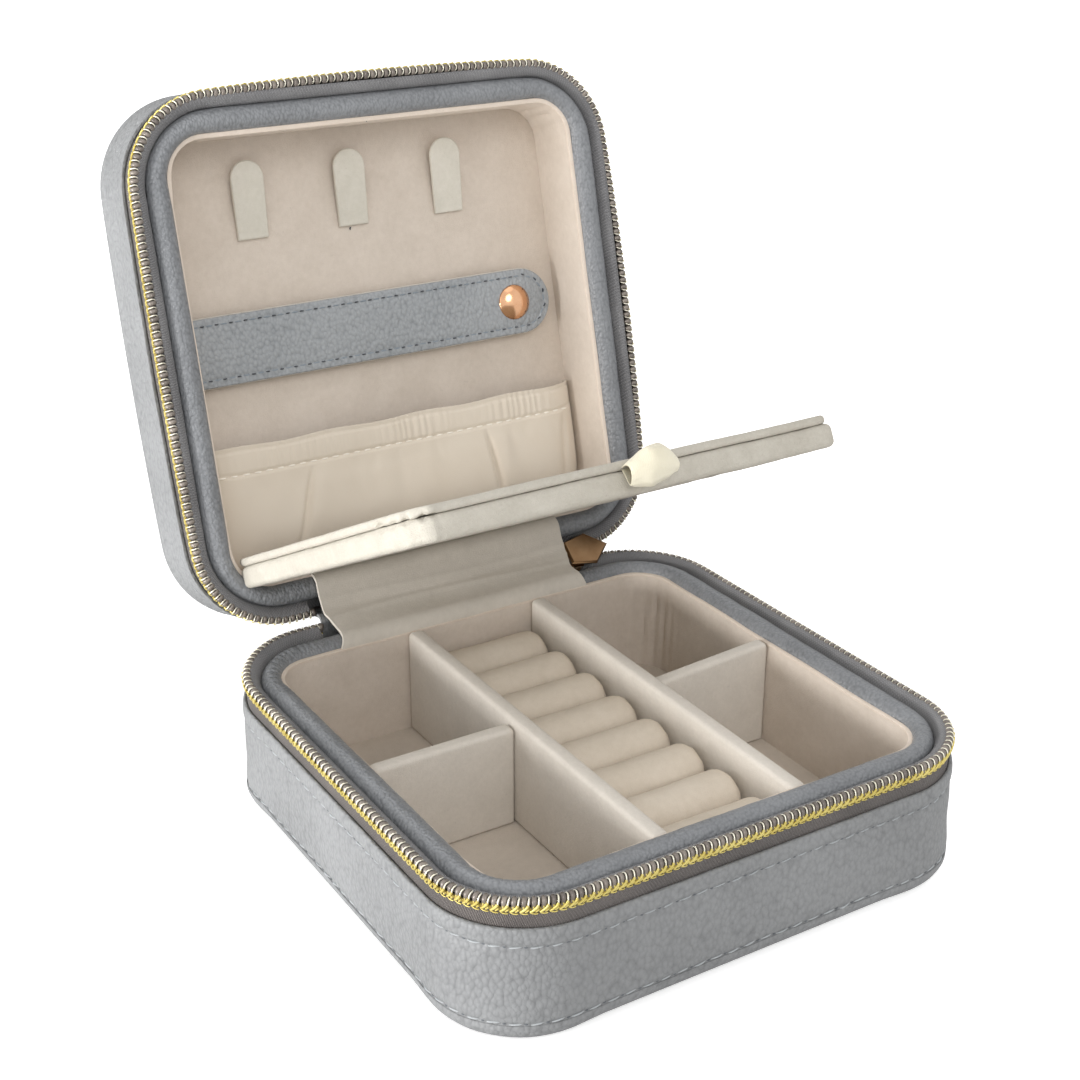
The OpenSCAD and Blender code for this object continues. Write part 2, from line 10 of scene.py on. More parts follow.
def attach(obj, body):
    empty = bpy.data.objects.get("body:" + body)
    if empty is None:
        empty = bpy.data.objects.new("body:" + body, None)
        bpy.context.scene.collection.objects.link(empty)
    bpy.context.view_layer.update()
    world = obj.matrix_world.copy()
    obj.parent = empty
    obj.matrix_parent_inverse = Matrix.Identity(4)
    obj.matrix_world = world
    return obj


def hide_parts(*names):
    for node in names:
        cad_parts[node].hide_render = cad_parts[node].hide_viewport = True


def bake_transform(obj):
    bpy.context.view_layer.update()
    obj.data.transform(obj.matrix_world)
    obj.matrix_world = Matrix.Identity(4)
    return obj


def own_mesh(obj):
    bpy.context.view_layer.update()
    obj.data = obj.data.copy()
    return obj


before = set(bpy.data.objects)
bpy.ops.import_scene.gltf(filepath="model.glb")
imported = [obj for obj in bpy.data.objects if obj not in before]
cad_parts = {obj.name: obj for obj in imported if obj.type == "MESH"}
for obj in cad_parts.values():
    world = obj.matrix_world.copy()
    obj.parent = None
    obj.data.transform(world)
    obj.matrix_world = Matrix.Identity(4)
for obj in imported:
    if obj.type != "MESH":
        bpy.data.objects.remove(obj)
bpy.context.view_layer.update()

MM = 0.001

# ---------------- sizes of the case, mm
CASE_W, CASE_D = 150.0, 148.0
BASE_H, LID_H = 38.6, 26.4
CORNER_R = 26.0
INNER_W, INNER_D, INNER_R = 124.7, 122.7, 10.0
WALL_X = 62.15             # strips and dividers start here, at the lining
FLOOR, LID_FLOOR = 5.0, 4.4
DIVIDER_TOP = 35.0
COVER_LOW = 7.5            # leather ends this far below the meeting line
RIM_LOW = 8.6              # rim roll starts this far below the meeting line
RIM_TOP = 0.35
RIM_W, RIM_D, RIM_R = 132.35, 130.35, 15.5
TAPE_LOW, TAPE_TOP = 14.6, 2.4    # the zip tape's edges below the meeting line
COIL_LOW = 1.2             # the coil's middle below the meeting line
NOTCHES = 43.0, 46.0       # the tape is lower this near to the hinge's middle, left and right
HINGE_Y, HINGE_Z = 75.4, 38.6
OPEN_ANGLE = 104.3
HALF_ANGLE = OPEN_ANGLE / 2
TOOTH = 2.13               # pitch of the zip's teeth
ZIP_START, ZIP_END_GAP = 42.0, 50.5
STITCH = 4.9               # pitch of the case's stitches
STRAP_Y, SNAP_X = 3.3, 44.95
HALVES = (("base", BASE_H, 1), ("lid", LID_H, -1))
BOWED = {"base": 0.0, "lid": 1.1}    # how far the lid's sides swell
PANEL_PIVOT = (55.966, 43.65)
PANEL_HALF_D = 58.0
PANEL_MID_Y = PANEL_PIVOT[0] + 0.5 - PANEL_HALF_D
PANEL_Z = BASE_H + 1.4     # the open panel's underside, before it is turned


def turned(angle, y=HINGE_Y, z=HINGE_Z):
    """Turn about a line along X, in mm."""
    there = Matrix.Translation((0, y, z))
    return there @ Matrix.Rotation(radians(angle), 4, "X") @ there.inverted()


BASE_PLACE = Matrix.Identity(4)
# The lid is made lying on its outer face, its front edge at +Y, then stood up
LID_PLACE = (turned(-OPEN_ANGLE) @ Matrix.Translation((0, 0, BASE_H + LID_H))
             @ Matrix.Rotation(pi, 4, "X"))
PANEL_PLACE = turned(-OPEN_ANGLE) @ turned(77.5, *PANEL_PIVOT)
SLIDER_PLACE = turned(-HALF_ANGLE)
TO_METRES = Matrix.Scale(MM, 4)
PLACES = {"base": BASE_PLACE, "lid": LID_PLACE, "panel": PANEL_PLACE, "slider": SLIDER_PLACE}


# ---------------- making meshes
def clamp(x):
    """Between 0 and 1."""
    return np.clip(x, 0, 1)


def columns(*values):
    return np.column_stack(values)


def units(rows):
    """Each row made 1 long."""
    return rows / np.linalg.norm(rows, axis=1)[:, None]


def mode(name, action=None):
    """Edit or object mode; edit mode may begin with everything or nothing selected."""
    bpy.ops.object.mode_set(mode=name)
    if action:
        bpy.ops.mesh.select_all(action=action)


def start():
    """Object mode, with nothing selected and points as what edit mode selects."""
    if bpy.context.object and bpy.context.object.mode != "OBJECT":
        mode("OBJECT")
    bpy.context.scene.tool_settings.mesh_select_mode = (True, False, False)
    bpy.ops.object.select_all(action="DESELECT")


def pick(obj):
    start()
    obj.select_set(True)
    bpy.context.view_layer.objects.active = obj
    return obj


def points(obj):
    """All of a mesh's points as an array."""
    co = np.empty(len(obj.data.vertices) * 3)
    obj.data.vertices.foreach_get("co", co)
    return co.reshape(-1, 3)


def set_points(obj, co):
    obj.data.vertices.foreach_set("co", np.ascontiguousarray(co, dtype=np.float32).ravel())
    obj.data.update()


def apply_modifier(obj, kind, **values):
    pick(obj)
    modifier = obj.modifiers.new(kind.title(), kind)
    for key, value in values.items():
        setattr(modifier, key, value)
    bpy.ops.object.modifier_apply(modifier=modifier.name)
    return obj


def array(obj, count, pitch, **values):
    return apply_modifier(obj, "ARRAY", count=count, use_relative_offset=False,
                          use_constant_offset=True, constant_offset_displace=(pitch, 0, 0),
                          **values)


def outwards(obj):
    """Doubles merged and every face turned outwards."""
    pick(obj)
    mode("EDIT", "SELECT")
    bpy.ops.mesh.remove_doubles(threshold=0.002)
    bpy.ops.mesh.normals_make_consistent(inside=False)
    mode("OBJECT")
    return obj


def choose(obj, kind, chosen):
    """Edit mode with only these vertices, edges or polygons selected."""
    pick(obj)
    mode("EDIT")
    bpy.ops.mesh.select_mode(type={"vertices": "VERT", "edges": "EDGE",
                                   "polygons": "FACE"}[kind])
    bpy.ops.mesh.select_all(action="DESELECT")
    mode("OBJECT")
    getattr(obj.data, kind).foreach_set("select", np.asarray(chosen, dtype=bool))
    mode("EDIT")


def joined(name, parts):
    start()
    for part in parts:
        part.select_set(True)
    bpy.context.view_layer.objects.active = parts[0]
    bpy.ops.object.join()
    parts[0].name = name
    return parts[0]


def set_uv(obj, uv):
    """UV in metres from a place in mm for each point."""
    layer = obj.data.uv_layers.get("UVMap") or obj.data.uv_layers.new(name="UVMap")
    loops = np.empty(len(obj.data.loops), dtype=np.int32)
    obj.data.loops.foreach_get("vertex_index", loops)
    layer.data.foreach_set("uv", (uv[loops] * MM).astype(np.float32).ravel())


def finish_piece(obj, name, body, material, nodes=(), angle=None,
                 place=None):
    """Smooths a piece made in mm, puts it at its place, gives it its finish and lets it ride."""
    pick(obj)
    if angle:
        bpy.ops.object.shade_smooth_by_angle(angle=radians(angle))
    obj.name = obj.data.name = name
    obj.data.transform(TO_METRES @ (place or PLACES.get(body, BASE_PLACE)))
    obj.matrix_world = Matrix.Identity(4)
    obj.data.materials.clear()
    obj.data.materials.append(material)
    if body:
        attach(obj, body)
    if nodes:
        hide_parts(*nodes)
    return obj


def traced(co, fill="NOTHING"):
    """Edit mode on a new mesh whose edge runs through these points."""
    start()
    bpy.ops.mesh.primitive_circle_add(vertices=len(co), fill_type=fill)
    set_points(bpy.context.object, np.array(co, float))
    mode("EDIT", "SELECT")
    return bpy.context.object


def bar(section, length, steps):
    """Closed section (outwards, up) drawn out along X in even steps."""
    obj = traced([(0, y, z) for y, z in section])
    step = length / steps
    bpy.ops.mesh.extrude_region_move(TRANSFORM_OT_translate={"value": (step, 0, 0)})
    mode("OBJECT")
    if steps > 1:
        array(obj, steps, step, use_merge_vertices=True, merge_threshold=0.002)
    return obj


class Outline:
    """A rounded rectangle, walked from the middle of its hinge side towards -X."""

    def __init__(self, w, d, r, hinge_side=1, bow=0.0, full=0.0):
        self.w, self.d, self.r, self.side, self.bow, self.full = w, d, r, hinge_side, bow, full
        self.runs = [w / 2 - r, pi * r / 2, d - 2 * r, pi * r / 2, w - 2 * r,
                     pi * r / 2, d - 2 * r, pi * r / 2, w / 2 - r]
        self.length = sum(self.runs)

    def at(self, s):
        """Points and outward normals at distances s."""
        s = np.mod(np.asarray(s, float), self.length)
        w, d, r = self.w / 2, self.d / 2, self.r
        ends = np.cumsum([0] + self.runs)
        p = np.zeros((len(s), 2))
        n = np.zeros((len(s), 2))
        corners = [(-(w - r), d - r, 90), (-(w - r), -(d - r), 180),
                   (w - r, -(d - r), 270), (w - r, d - r, 0)]
        straights = [((0, d), (-1, 0), (0, 1)), ((-w, d - r), (0, -1), (-1, 0)),
                     ((-(w - r), -d), (1, 0), (0, -1)), ((w, -(d - r)), (0, 1), (1, 0)),
                     ((w - r, d), (-1, 0), (0, 1))]
        for k in range(9):
            here = (s >= ends[k]) & ((s < ends[k + 1]) | (k == 8))
            t = s[here] - ends[k]
            if k % 2 == 0:
                origin, along, normal = (np.array(v, float) for v in straights[k // 2])
                most = self.bow * {2: 0.6, 4: 1.0, 6: 1.2}.get(k, 0)
                swell = most * np.sin(pi * t / self.runs[k]) ** 0.8
                p[here] = origin + t[:, None] * along + np.abs(swell)[:, None] * normal
                n[here] = normal
            else:
                cx, cy, a0 = corners[k // 2]
                a = np.radians(a0) + t / r
                n[here] = np.stack([np.cos(a), np.sin(a)], 1)
                p[here] = np.array([cx, cy]) + r * n[here]
        p += (0.78 * self.full * self.corner(s))[:, None] * n
        p[:, 1] *= self.side
        n[:, 1] *= self.side
        return p, n

    def corner(self, s):
        """1 in the corners and 0 on the straight sides, softly."""
        s = np.mod(np.asarray(s, float), self.length)
        ends = np.cumsum([0] + self.runs)
        out = np.zeros(len(s))
        for k in (1, 3, 5, 7):
            middle = (ends[k] + ends[k + 1]) / 2
            half = (ends[k + 1] - ends[k]) / 2
            out = np.maximum(out, clamp(1.35 - np.abs(s - middle) / half))
        return out


def wrap(obj, outline, s0=0.0, closed=True, shape=None):
    """Bends a bar made along X round an outline. shape(s, out, z) may move its points."""
    co = points(obj)
    s, out, z = co[:, 0] + s0, co[:, 1].copy(), co[:, 2].copy()
    add_uv(obj, co)
    if shape:
        out, z = shape(s, out, z)
    p, n = outline.at(s)
    if closed:  # the last ring lies on the first
        last = co[:, 0] > co[:, 0].max() - 1e-3
        p0, n0 = outline.at(np.full(last.sum(), s0))
        p[last], n[last] = p0, n0
    set_points(obj, columns(p + out[:, None] * n, z))
    if not closed:
        close_ends(obj, co[:, 0])
    outwards(obj)
    return obj


def close_ends(obj, along):
    """Fills the two open ends of a bar."""
    for end in (along.min(), along.max()):
        choose(obj, "vertices", np.abs(along - end) < 1e-3)
        bpy.ops.mesh.edge_face_add()
        mode("OBJECT")


def add_uv(obj, co):
    """UV in metres: u along the bar, v round its section."""
    first = np.abs(co[:, 0] - co[:, 0].min()) < 1e-3
    section = co[first][:, 1:]
    step = np.linalg.norm(np.diff(section, axis=0), axis=1)
    around = np.concatenate([[0], np.cumsum(step)])
    nearest = np.argmin(np.linalg.norm(co[:, None, 1:] - section[None], axis=2), axis=1)
    set_uv(obj, columns(co[:, 0], around[nearest]))


def repeated(unit, pitch, count, outline, s0, lift=None):
    """One small piece repeated along an outline: its X runs along and its Y outwards.
    lift(s) may lift its points."""
    co = points(array(unit, count, pitch))
    s = co[:, 0] + s0
    p, n = outline.at(s)
    set_points(unit, columns(p + co[:, 1:2] * n, co[:, 2] + (lift(s) if lift else 0)))
    return unit


def rough(co, size, amount, seed=0.0):
    """Smooth noise, one value for each point."""
    shift = Vector((seed, seed * 1.7, seed * 0.3))
    return amount * np.array([noise.noise(Vector(c) / size + shift) for c in co])


def gauss(x, middle, width):
    return np.exp(-((x - middle) / width) ** 2)


def arc(cx, cy, r, a0, a1, count):
    """Points on an arc, angles in degrees."""
    return [(cx + r * cos(radians(a0 + (a1 - a0) * i / count)),
             cy + r * sin(radians(a0 + (a1 - a0) * i / count)))
            for i in range(count + 1)]


def circle(r, sides):
    return [(r * cos(2 * pi * i / sides), r * sin(2 * pi * i / sides)) for i in range(sides)]


def ring(section, size, side, step, shape=None, bow=0.0):
    """A closed section carried all the way round a rounded rectangle (w, d, r)."""
    line = Outline(*size, side, bow)
    return wrap(bar(section, line.length, int(round(line.length / step))), line, shape=shape)


def thread(length, r):
    """One stitch: a short thread lying along X, its ends going down into the leather."""
    obj = bar(circle(r, 6), length, 4)
    co = points(obj)
    t = np.abs(co[:, 0] / length * 2 - 1)
    co[:, 0] -= length / 2
    taper = 1 - 0.5 * t ** 3
    co[:, 1] = co[:, 1] * taper - 0.9 * r * t ** 2.5 * 1.1
    co[:, 2] *= taper
    set_points(obj, co)
    close_ends(obj, co[:, 0])
    return outwards(obj)


def wire_piece(line, r, sides=6, wide=1.0):
    """A short round wire along a few points (along, outwards, up)."""
    line = np.array(line, float)
    steps = len(line) - 1
    obj = bar(circle(r, sides), float(steps), steps)
    co = points(obj)
    k = np.rint(co[:, 0]).astype(int)
    ahead = units(np.gradient(line, axis=0))
    across = np.tile(np.array([1.0, 0.0, 0.0]), (len(line), 1))
    across -= (across * ahead).sum(1)[:, None] * ahead
    short = np.linalg.norm(across, axis=1) < 0.3
    across[short] = np.cross(ahead[short], (0.0, 0.0, 1.0))
    across = units(across)
    third = np.cross(ahead, across)
    set_points(obj, line[k] + co[:, 1:2] * across[k] * wide + co[:, 2:3] * third[k])
    close_ends(obj, co[:, 0])
    return outwards(obj)


def slab(plan, z0, z1, edge, segments=3):
    """A flat plate of any plan with rounded upper and lower edges."""
    obj = traced(columns(np.asarray(plan), np.full(len(plan), z0)), "NGON")
    bpy.ops.mesh.extrude_region_move(TRANSFORM_OT_translate={"value": (0, 0, z1 - z0)})
    bpy.ops.mesh.select_all(action="SELECT")
    bpy.ops.mesh.normals_make_consistent(inside=False)
    mode("OBJECT")
    heights = points(obj)[:, 2]
    ends = np.empty(len(obj.data.edges) * 2, dtype=np.int32)
    obj.data.edges.foreach_get("vertices", ends)
    choose(obj, "edges", np.abs(heights[ends[::2]] - heights[ends[1::2]]) < 1e-6)
    bpy.ops.mesh.bevel(offset=edge, offset_type="OFFSET", segments=segments, affect="EDGES")
    mode("OBJECT")
    return obj


def round_slab(w, d, r, side, count, z0, z1, edge):
    """A flat plate with the plan of a rounded rectangle."""
    line = Outline(w, d, r, side)
    return slab(line.at(np.linspace(0, line.length, count, False))[0], z0, z1, edge)


def inset_top(obj, *steps):
    """Insets the flat top by a thickness and depth, again and again."""
    choose(obj, "polygons", [p.normal.z > 0.99 for p in obj.data.polygons])
    for thickness, depth in steps:
        bpy.ops.mesh.inset(thickness=thickness, depth=depth)
    mode("OBJECT")


def sewn(unit, places):
    """Copies of one stitch lying on a face, each at (x, y, z) and turned, as one mesh."""
    copies = []
    for x, y, z, turn in places:
        copy = unit.copy()
        copy.data = unit.data.copy()
        bpy.context.collection.objects.link(copy)
        copy.data.transform(Matrix.Translation((x, y, z)) @ Matrix.Rotation(turn, 4, "Z")
                            @ Matrix.Rotation(-pi / 2, 4, "X") @ Matrix.Rotation(pi, 4, "X"))
        copies.append(copy)
    bpy.data.objects.remove(unit)
    return joined("row", copies)


# ---------------- finishes
def colour(code, alpha=1.0):
    """Linear colour from a six-digit screen colour."""
    parts = [int(code[i:i + 2], 16) / 255 for i in (0, 2, 4)]
    return tuple(c / 12.92 if c <= 0.04045 else ((c + 0.055) / 1.055) ** 2.4
                 for c in parts) + (alpha,)


def put(tree, kind, inputs=None, **values):
    """Adds a node, sets it up and links or fills its inputs."""
    node = tree.nodes.new(kind)
    for key, value in values.items():
        setattr(node, key, value)
    for key, value in (inputs or {}).items():
        socket = node.inputs[key]
        if isinstance(value, bpy.types.NodeSocket):
            tree.links.new(value, socket)
        else:
            socket.default_value = value
    return node


def maths(tree, operation, a, b=0.0, c=0.0):
    return put(tree, "ShaderNodeMath", {0: a, 1: b, 2: c}, operation=operation).outputs[0]


def plus_times(tree, a, b, c):
    """a times b, plus c."""
    return maths(tree, "MULTIPLY_ADD", a, b, c)


def blend_colours(tree, factor, a, b):
    return put(tree, "ShaderNodeMix", {0: factor, 6: a, 7: b}, data_type="RGBA",
               blend_type="MIX").outputs[2]


def fitted(tree, value, low, high, to_low=0.0, to_high=1.0):
    return put(tree, "ShaderNodeMapRange", {0: value, 1: low, 2: high, 3: to_low, 4: to_high}
               ).outputs[0]


def clouds(tree, vector, scale, detail, output="Fac", **more):
    return put(tree, "ShaderNodeTexNoise", {"Vector": vector, "Scale": scale, "Detail": detail,
                                            **more}).outputs[output]


def new_group(name, inputs, outputs=("Height", "Tone")):
    group = bpy.data.node_groups.new(name, "ShaderNodeTree")
    for kind, sockets in (("INPUT", {"Vector": None, **inputs}),
                          ("OUTPUT", dict.fromkeys(outputs, 0.0))):
        for key, value in sockets.items():
            is_vector = value is None
            socket = group.interface.new_socket(
                name=key, in_out=kind,
                socket_type="NodeSocketVector" if is_vector else "NodeSocketFloat")
            if not is_vector:
                socket.default_value = value
    source = group.nodes.new("NodeGroupInput")
    return group, source.outputs, group.nodes.new("NodeGroupOutput").inputs


def given(group, outputs, *values):
    """Links a group's results in their order."""
    for value, socket in zip(values, outputs):
        group.links.new(value, socket)
    return group


def pebble_group():
    """Pebbled leather: small rounded grains, a little longer upwards; painted shade darkens the
    valleys.
    """
    g, i, o = new_group("Pebbled grain", {"Grain": 1.3})
    where = i["Vector"]
    metres = maths(g, "DIVIDE", 1000.0, i["Grain"])
    offset = put(g, "ShaderNodeVectorMath", {0: clouds(g, where, 420.0, 2.0, "Color"),
                                             3: 0.0007}, operation="SCALE").outputs[0]
    place = put(g, "ShaderNodeVectorMath", {0: where, 1: offset}).outputs[0]
    place = put(g, "ShaderNodeVectorMath", {0: place, 1: (1.0, 1.0, 0.72)},
                operation="MULTIPLY").outputs[0]
    cells = put(g, "ShaderNodeTexVoronoi", {"Vector": place, "Scale": metres},
                feature="F1").outputs
    grain = maths(g, "SUBTRACT", 1.0, maths(g, "POWER", cells["Distance"], 1.5))
    height = plus_times(g, grain, 1.0, maths(g, "MULTIPLY", cells["Color"], 0.22))
    height = plus_times(g, clouds(g, where, 5200.0, 3.0), 0.12, height)
    height = plus_times(g, clouds(g, where, 240.0, 2.0), 0.5, height)
    # the tone is the grain's height: painted shade, darker in the valleys between the grains
    return given(g, o, height, grain)


def nap_group():
    """Short velvet nap: brushed patches and fine fibres."""
    g, i, o = new_group("Velvet nap", {"Patch": 9.0, "Fibre": 0.3})
    where = i["Vector"]
    patch = maths(g, "DIVIDE", 1000.0, i["Patch"])
    large = clouds(g, where, patch, 3.0, Distortion=0.6)
    middle = clouds(g, where, maths(g, "MULTIPLY", patch, 6.0), 2.0)
    fine = clouds(g, where, maths(g, "DIVIDE", 1000.0, i["Fibre"]), 2.0)
    tone = plus_times(g, middle, 0.45, maths(g, "MULTIPLY", large, 0.55))
    tone = plus_times(g, fine, 0.35, tone)
    return given(g, o, plus_times(g, middle, 0.5, fine), fitted(g, tone, 0.45, 0.9))


def weave_group():
    """Plain weave along a piece's own UV, in metres: threads each way, with painted shade where
    they dip.
    """
    g, i, o = new_group("Woven threads", {"Warp": 0.5, "Weft": 0.5, "Slant": 0.0})
    axes = put(g, "ShaderNodeSeparateXYZ", {0: i["Vector"]}).outputs

    def wave(along, size):
        turns = maths(g, "MULTIPLY", along, 2 * pi * 1000)
        return maths(g, "SINE", maths(g, "DIVIDE", turns, size))

    warp = wave(plus_times(g, axes[1], i["Slant"], axes[0]), i["Warp"])
    over = maths(g, "MULTIPLY", warp, wave(axes[1], i["Weft"]))
    ribs = maths(g, "MULTIPLY", maths(g, "ABSOLUTE", warp), 0.8)
    height = plus_times(g, over, 0.25, ribs)
    height = plus_times(g, clouds(g, i["Vector"], 2600.0, 3.0), 0.5, height)
    # the tone follows the height: painted shade between the threads and ribs
    return given(g, o, height, fitted(g, height, 0.1, 1.2))


def handling_group():
    """Slow drift of tone and gloss from handling, and small specks."""
    g, i, o = new_group("Handling marks", {"Size": 30.0}, ("Drift", "Speck"))
    slow = clouds(g, i["Vector"], maths(g, "DIVIDE", 1000.0, i["Size"]), 3.0)
    small = clouds(g, i["Vector"], 900.0, 1.0)
    return given(g, o, fitted(g, slow, 0.3, 0.7), fitted(g, small, 0.74, 0.8))


PEBBLE, NAP, WEAVE, HANDLING = pebble_group(), nap_group(), weave_group(), handling_group()


def used(tree, group, **inputs):
    return put(tree, "ShaderNodeGroup", inputs, node_tree=group).outputs


def material(name, **plain):
    """A material with its Principled shader; plain values go on the shader's own sockets."""
    made = bpy.data.materials.new(name)
    made.use_nodes = True
    tree = made.node_tree
    shader = tree.nodes["Principled BSDF"]
    for key, value in plain.items():
        shader.inputs[key.replace("_", " ")].default_value = value
    where = tree.nodes.new("ShaderNodeTexCoord").outputs
    return made, tree, shader.inputs, where


def bump(tree, shader, height, distance, strength=1.0):
    """Distance in mm."""
    node = put(tree, "ShaderNodeBump", {"Height": height, "Distance": distance * MM,
                                        "Strength": strength})
    tree.links.new(node.outputs[0], shader["Normal"])


def dyed(t, s, tone, low, high):
    """Base colour between two, by tone."""
    t.links.new(blend_colours(t, tone, colour(low), colour(high)), s["Base Color"])


def mixed_tone(t, fine, much, drift):
    return plus_times(t, fine, much, maths(t, "MULTIPLY", drift, round(1 - much, 2)))


def leather(name, low, high, grain, depth, gloss=(0.5, 0.62)):
    made, t, s, where = material(name, IOR=1.45)
    peb = used(t, PEBBLE, Vector=where["Object"], Grain=grain)
    drift = used(t, HANDLING, Vector=where["Object"], Size=28.0)["Drift"]
    # the colour is darker in the grain's valleys as painted shade, and drifts with handling
    # marks
    dyed(t, s, mixed_tone(t, peb["Tone"], 0.6, drift), low, high)
    t.links.new(plus_times(t, drift, gloss[1] - gloss[0], gloss[0]), s["Roughness"])
    bump(t, s, peb["Height"], depth)
    return made


def velvet(name, low, high, sheen=0.25, patch=9.0, depth=0.12, specks=0.1):
    made, t, s, where = material(name, Roughness=0.95, Sheen_Weight=sheen, Sheen_Roughness=0.5,
                                 Specular_IOR_Level=0.15, Sheen_Tint=colour(high))
    nap = used(t, NAP, Vector=where["Object"], Patch=patch)
    worn = used(t, HANDLING, Vector=where["Object"], Size=35.0)
    tone = mixed_tone(t, nap["Tone"], 0.7, worn["Drift"])
    tinted = blend_colours(t, tone, colour(low), colour(high))
    speck = maths(t, "MULTIPLY", worn["Speck"], specks)
    t.links.new(blend_colours(t, speck, tinted, colour("7A7064")), s["Base Color"])
    bump(t, s, nap["Height"], depth)
    return made


def cloth(name, low, high, warp=0.45, weft=0.45, slant=0.0, depth=0.1, rough=0.85, sheen=0.2,
          spec=0.3):
    made, t, s, where = material(name, Roughness=rough, Sheen_Weight=sheen,
                                 Specular_IOR_Level=spec)
    threads = used(t, WEAVE, Vector=where["UV"], Warp=warp, Weft=weft, Slant=slant)
    drift = used(t, HANDLING, Vector=where["Object"], Size=14.0)["Drift"]
    # the colour darkens between the threads as painted shade, and drifts with handling marks
    dyed(t, s, mixed_tone(t, threads["Tone"], 0.75, drift), low, high)
    bump(t, s, threads["Height"], depth)
    return made


def metal(name, low, high, rough=(0.25, 0.4), brushed=0.0, full=1.0):
    made, t, s, where = material(name, Metallic=full)
    drift = used(t, HANDLING, Vector=where["Object"], Size=6.0)["Drift"]
    drawn = put(t, "ShaderNodeMapping", {"Vector": where["Object"],
                                         "Scale": (120.0, 5200.0, 5200.0)}).outputs[0]
    lines = clouds(t, drawn, 1.0, 3.0)
    dyed(t, s, drift, low, high)
    gloss = plus_times(t, drift, rough[1] - rough[0], rough[0])
    t.links.new(plus_times(t, lines, brushed, gloss), s["Roughness"])
    bump(t, s, lines, 0.02, 0.3 + brushed)
    return made


LEATHER = leather("Pebbled leather", "727374", "8E8F90", 1.15, 0.28)
RIM_LEATHER = leather("Rim leather", "66686B", "8D8F92", 0.8, 0.2, (0.32, 0.44))
STRAP_LEATHER = leather("Strap leather", "83878A", "A5A8AB", 1.0, 0.3, (0.4, 0.5))
LINING = velvet("Lining velvet", "C8BCAF", "DACFC3")
PAD = velvet("Pad velvet", "C0B6AA", "D2C8BC", 0.2, 14.0)
DIVIDER = velvet("Divider velvet", "CBC4BA", "DCD5CB", 0.25, 7.0)
ROLL = velvet("Roll velvet", "CBBFAE", "DDD2C3", 0.25, 12.0, 0.08)
SHEET = velvet("Hinge velvet", "C6BFB4", "D8D1C6", 0.3, 11.0)
TAB = velvet("Tab velvet", "C9C4B7", "DAD5CA", 0.25, 8.0)
PLY = velvet("Panel velvet", "B1AB9F", "C8C3B8", 0.2, 6.0, 0.2, 0.2)
# the zip tape's very dark low colour is painted shade between its ribs
TAPE = cloth("Zip tape", "1E1B1A", "7E7672", 0.8, 1.0, 0.3, 0.3)
INNER_TAPE = cloth("Inner zip tape", "48474A", "9A999A", 0.9, 1.1, 0.3, 0.25)
POCKET = cloth("Pocket cloth", "D6C9B7", "E6DCCD", 0.5, 0.5, 0.0, 0.05, 0.8, 0.2)
SATIN = cloth("Ribbon satin", "E2D9BC", "F6EFD9", 0.36, 3.0, 0.0, 0.08, 0.38, 0.3, 0.5)
# the lining's turned edge, a little paler than the wall's velvet: painted light on the top edge
EDGE = velvet("Turned edge painted light", "CFC1B2", "DFD2C5", 0.1, 3.0, 0.05)
THREAD = cloth("Stitch thread", "A6AAAC", "C2C6C8", 0.5, 0.3, 1.0, 0.05, 0.6)
STRAP_THREAD = cloth("Strap thread", "7E878F", "969EA5", 0.5, 0.3, 1.0, 0.05, 0.6)
# dark dots at the stitches' ends: painted shade in the needle holes
SOFT_HOLE_SHADE = cloth("Soft needle hole shade", "5C6064", "6E7276", 0.5, 0.5, 0.0, 0.05, 0.9)
# dark marks in the strap's needle holes and at thread ends: painted shade
HOLE_SHADE = cloth("Needle hole shade", "3A3F45", "4C5258", 0.5, 0.5, 0.0, 0.05, 0.9)
WHITE_THREAD = cloth("Pocket thread", "F0E9DD", "FFFAF0", 0.5, 0.3, 1.0, 0.05, 0.6)
COIL = metal("Zip coil", "625B56", "8F867D", (0.3, 0.42), 0.05, 0.3)
SILVER = metal("Crossing strand", "E2DCC6", "F6F1E2", (0.25, 0.35), 0.03, 0.35)
# gold thread under the strands, darker than them: painted shade between the threads
GOLD_BED_SHADED = metal("Gold thread bed shaded", "94803C", "AE9A50", (0.45, 0.6), 0.1, 0.2)
GOLD = metal("Gold thread", "C9B55A", "DECF80", (0.3, 0.42), 0.05, 0.4)
# dark bar inside the coil: painted shade between its turns
CORE_SHADE = cloth("Coil core shade", "38332F", "57504A", 0.5, 0.5, 0.0, 0.05, 0.7)
BRONZE = metal("Slider bronze", "7A5E42", "97795A", (0.22, 0.32), 0.1)
ROSE = metal("Rose gold", "D9A078", "EDBE97", (0.12, 0.2), 0.03)
SNAP = metal("Snap metal", "A27447", "C09468", (0.2, 0.3), 0.03)
CUT_EDGE = cloth("Strap edge", "CFC9BE", "E4DED4", 0.6, 0.4, 0.0, 0.05, 0.8)
BOARD = cloth("Grey board", "7F7466", "958A7B", 0.7, 0.7, 0.0, 0.05, 0.9)
FOAM = velvet("Foam", "D6D1C6", "ECE8DE", 0.0, 1.2, 0.2)


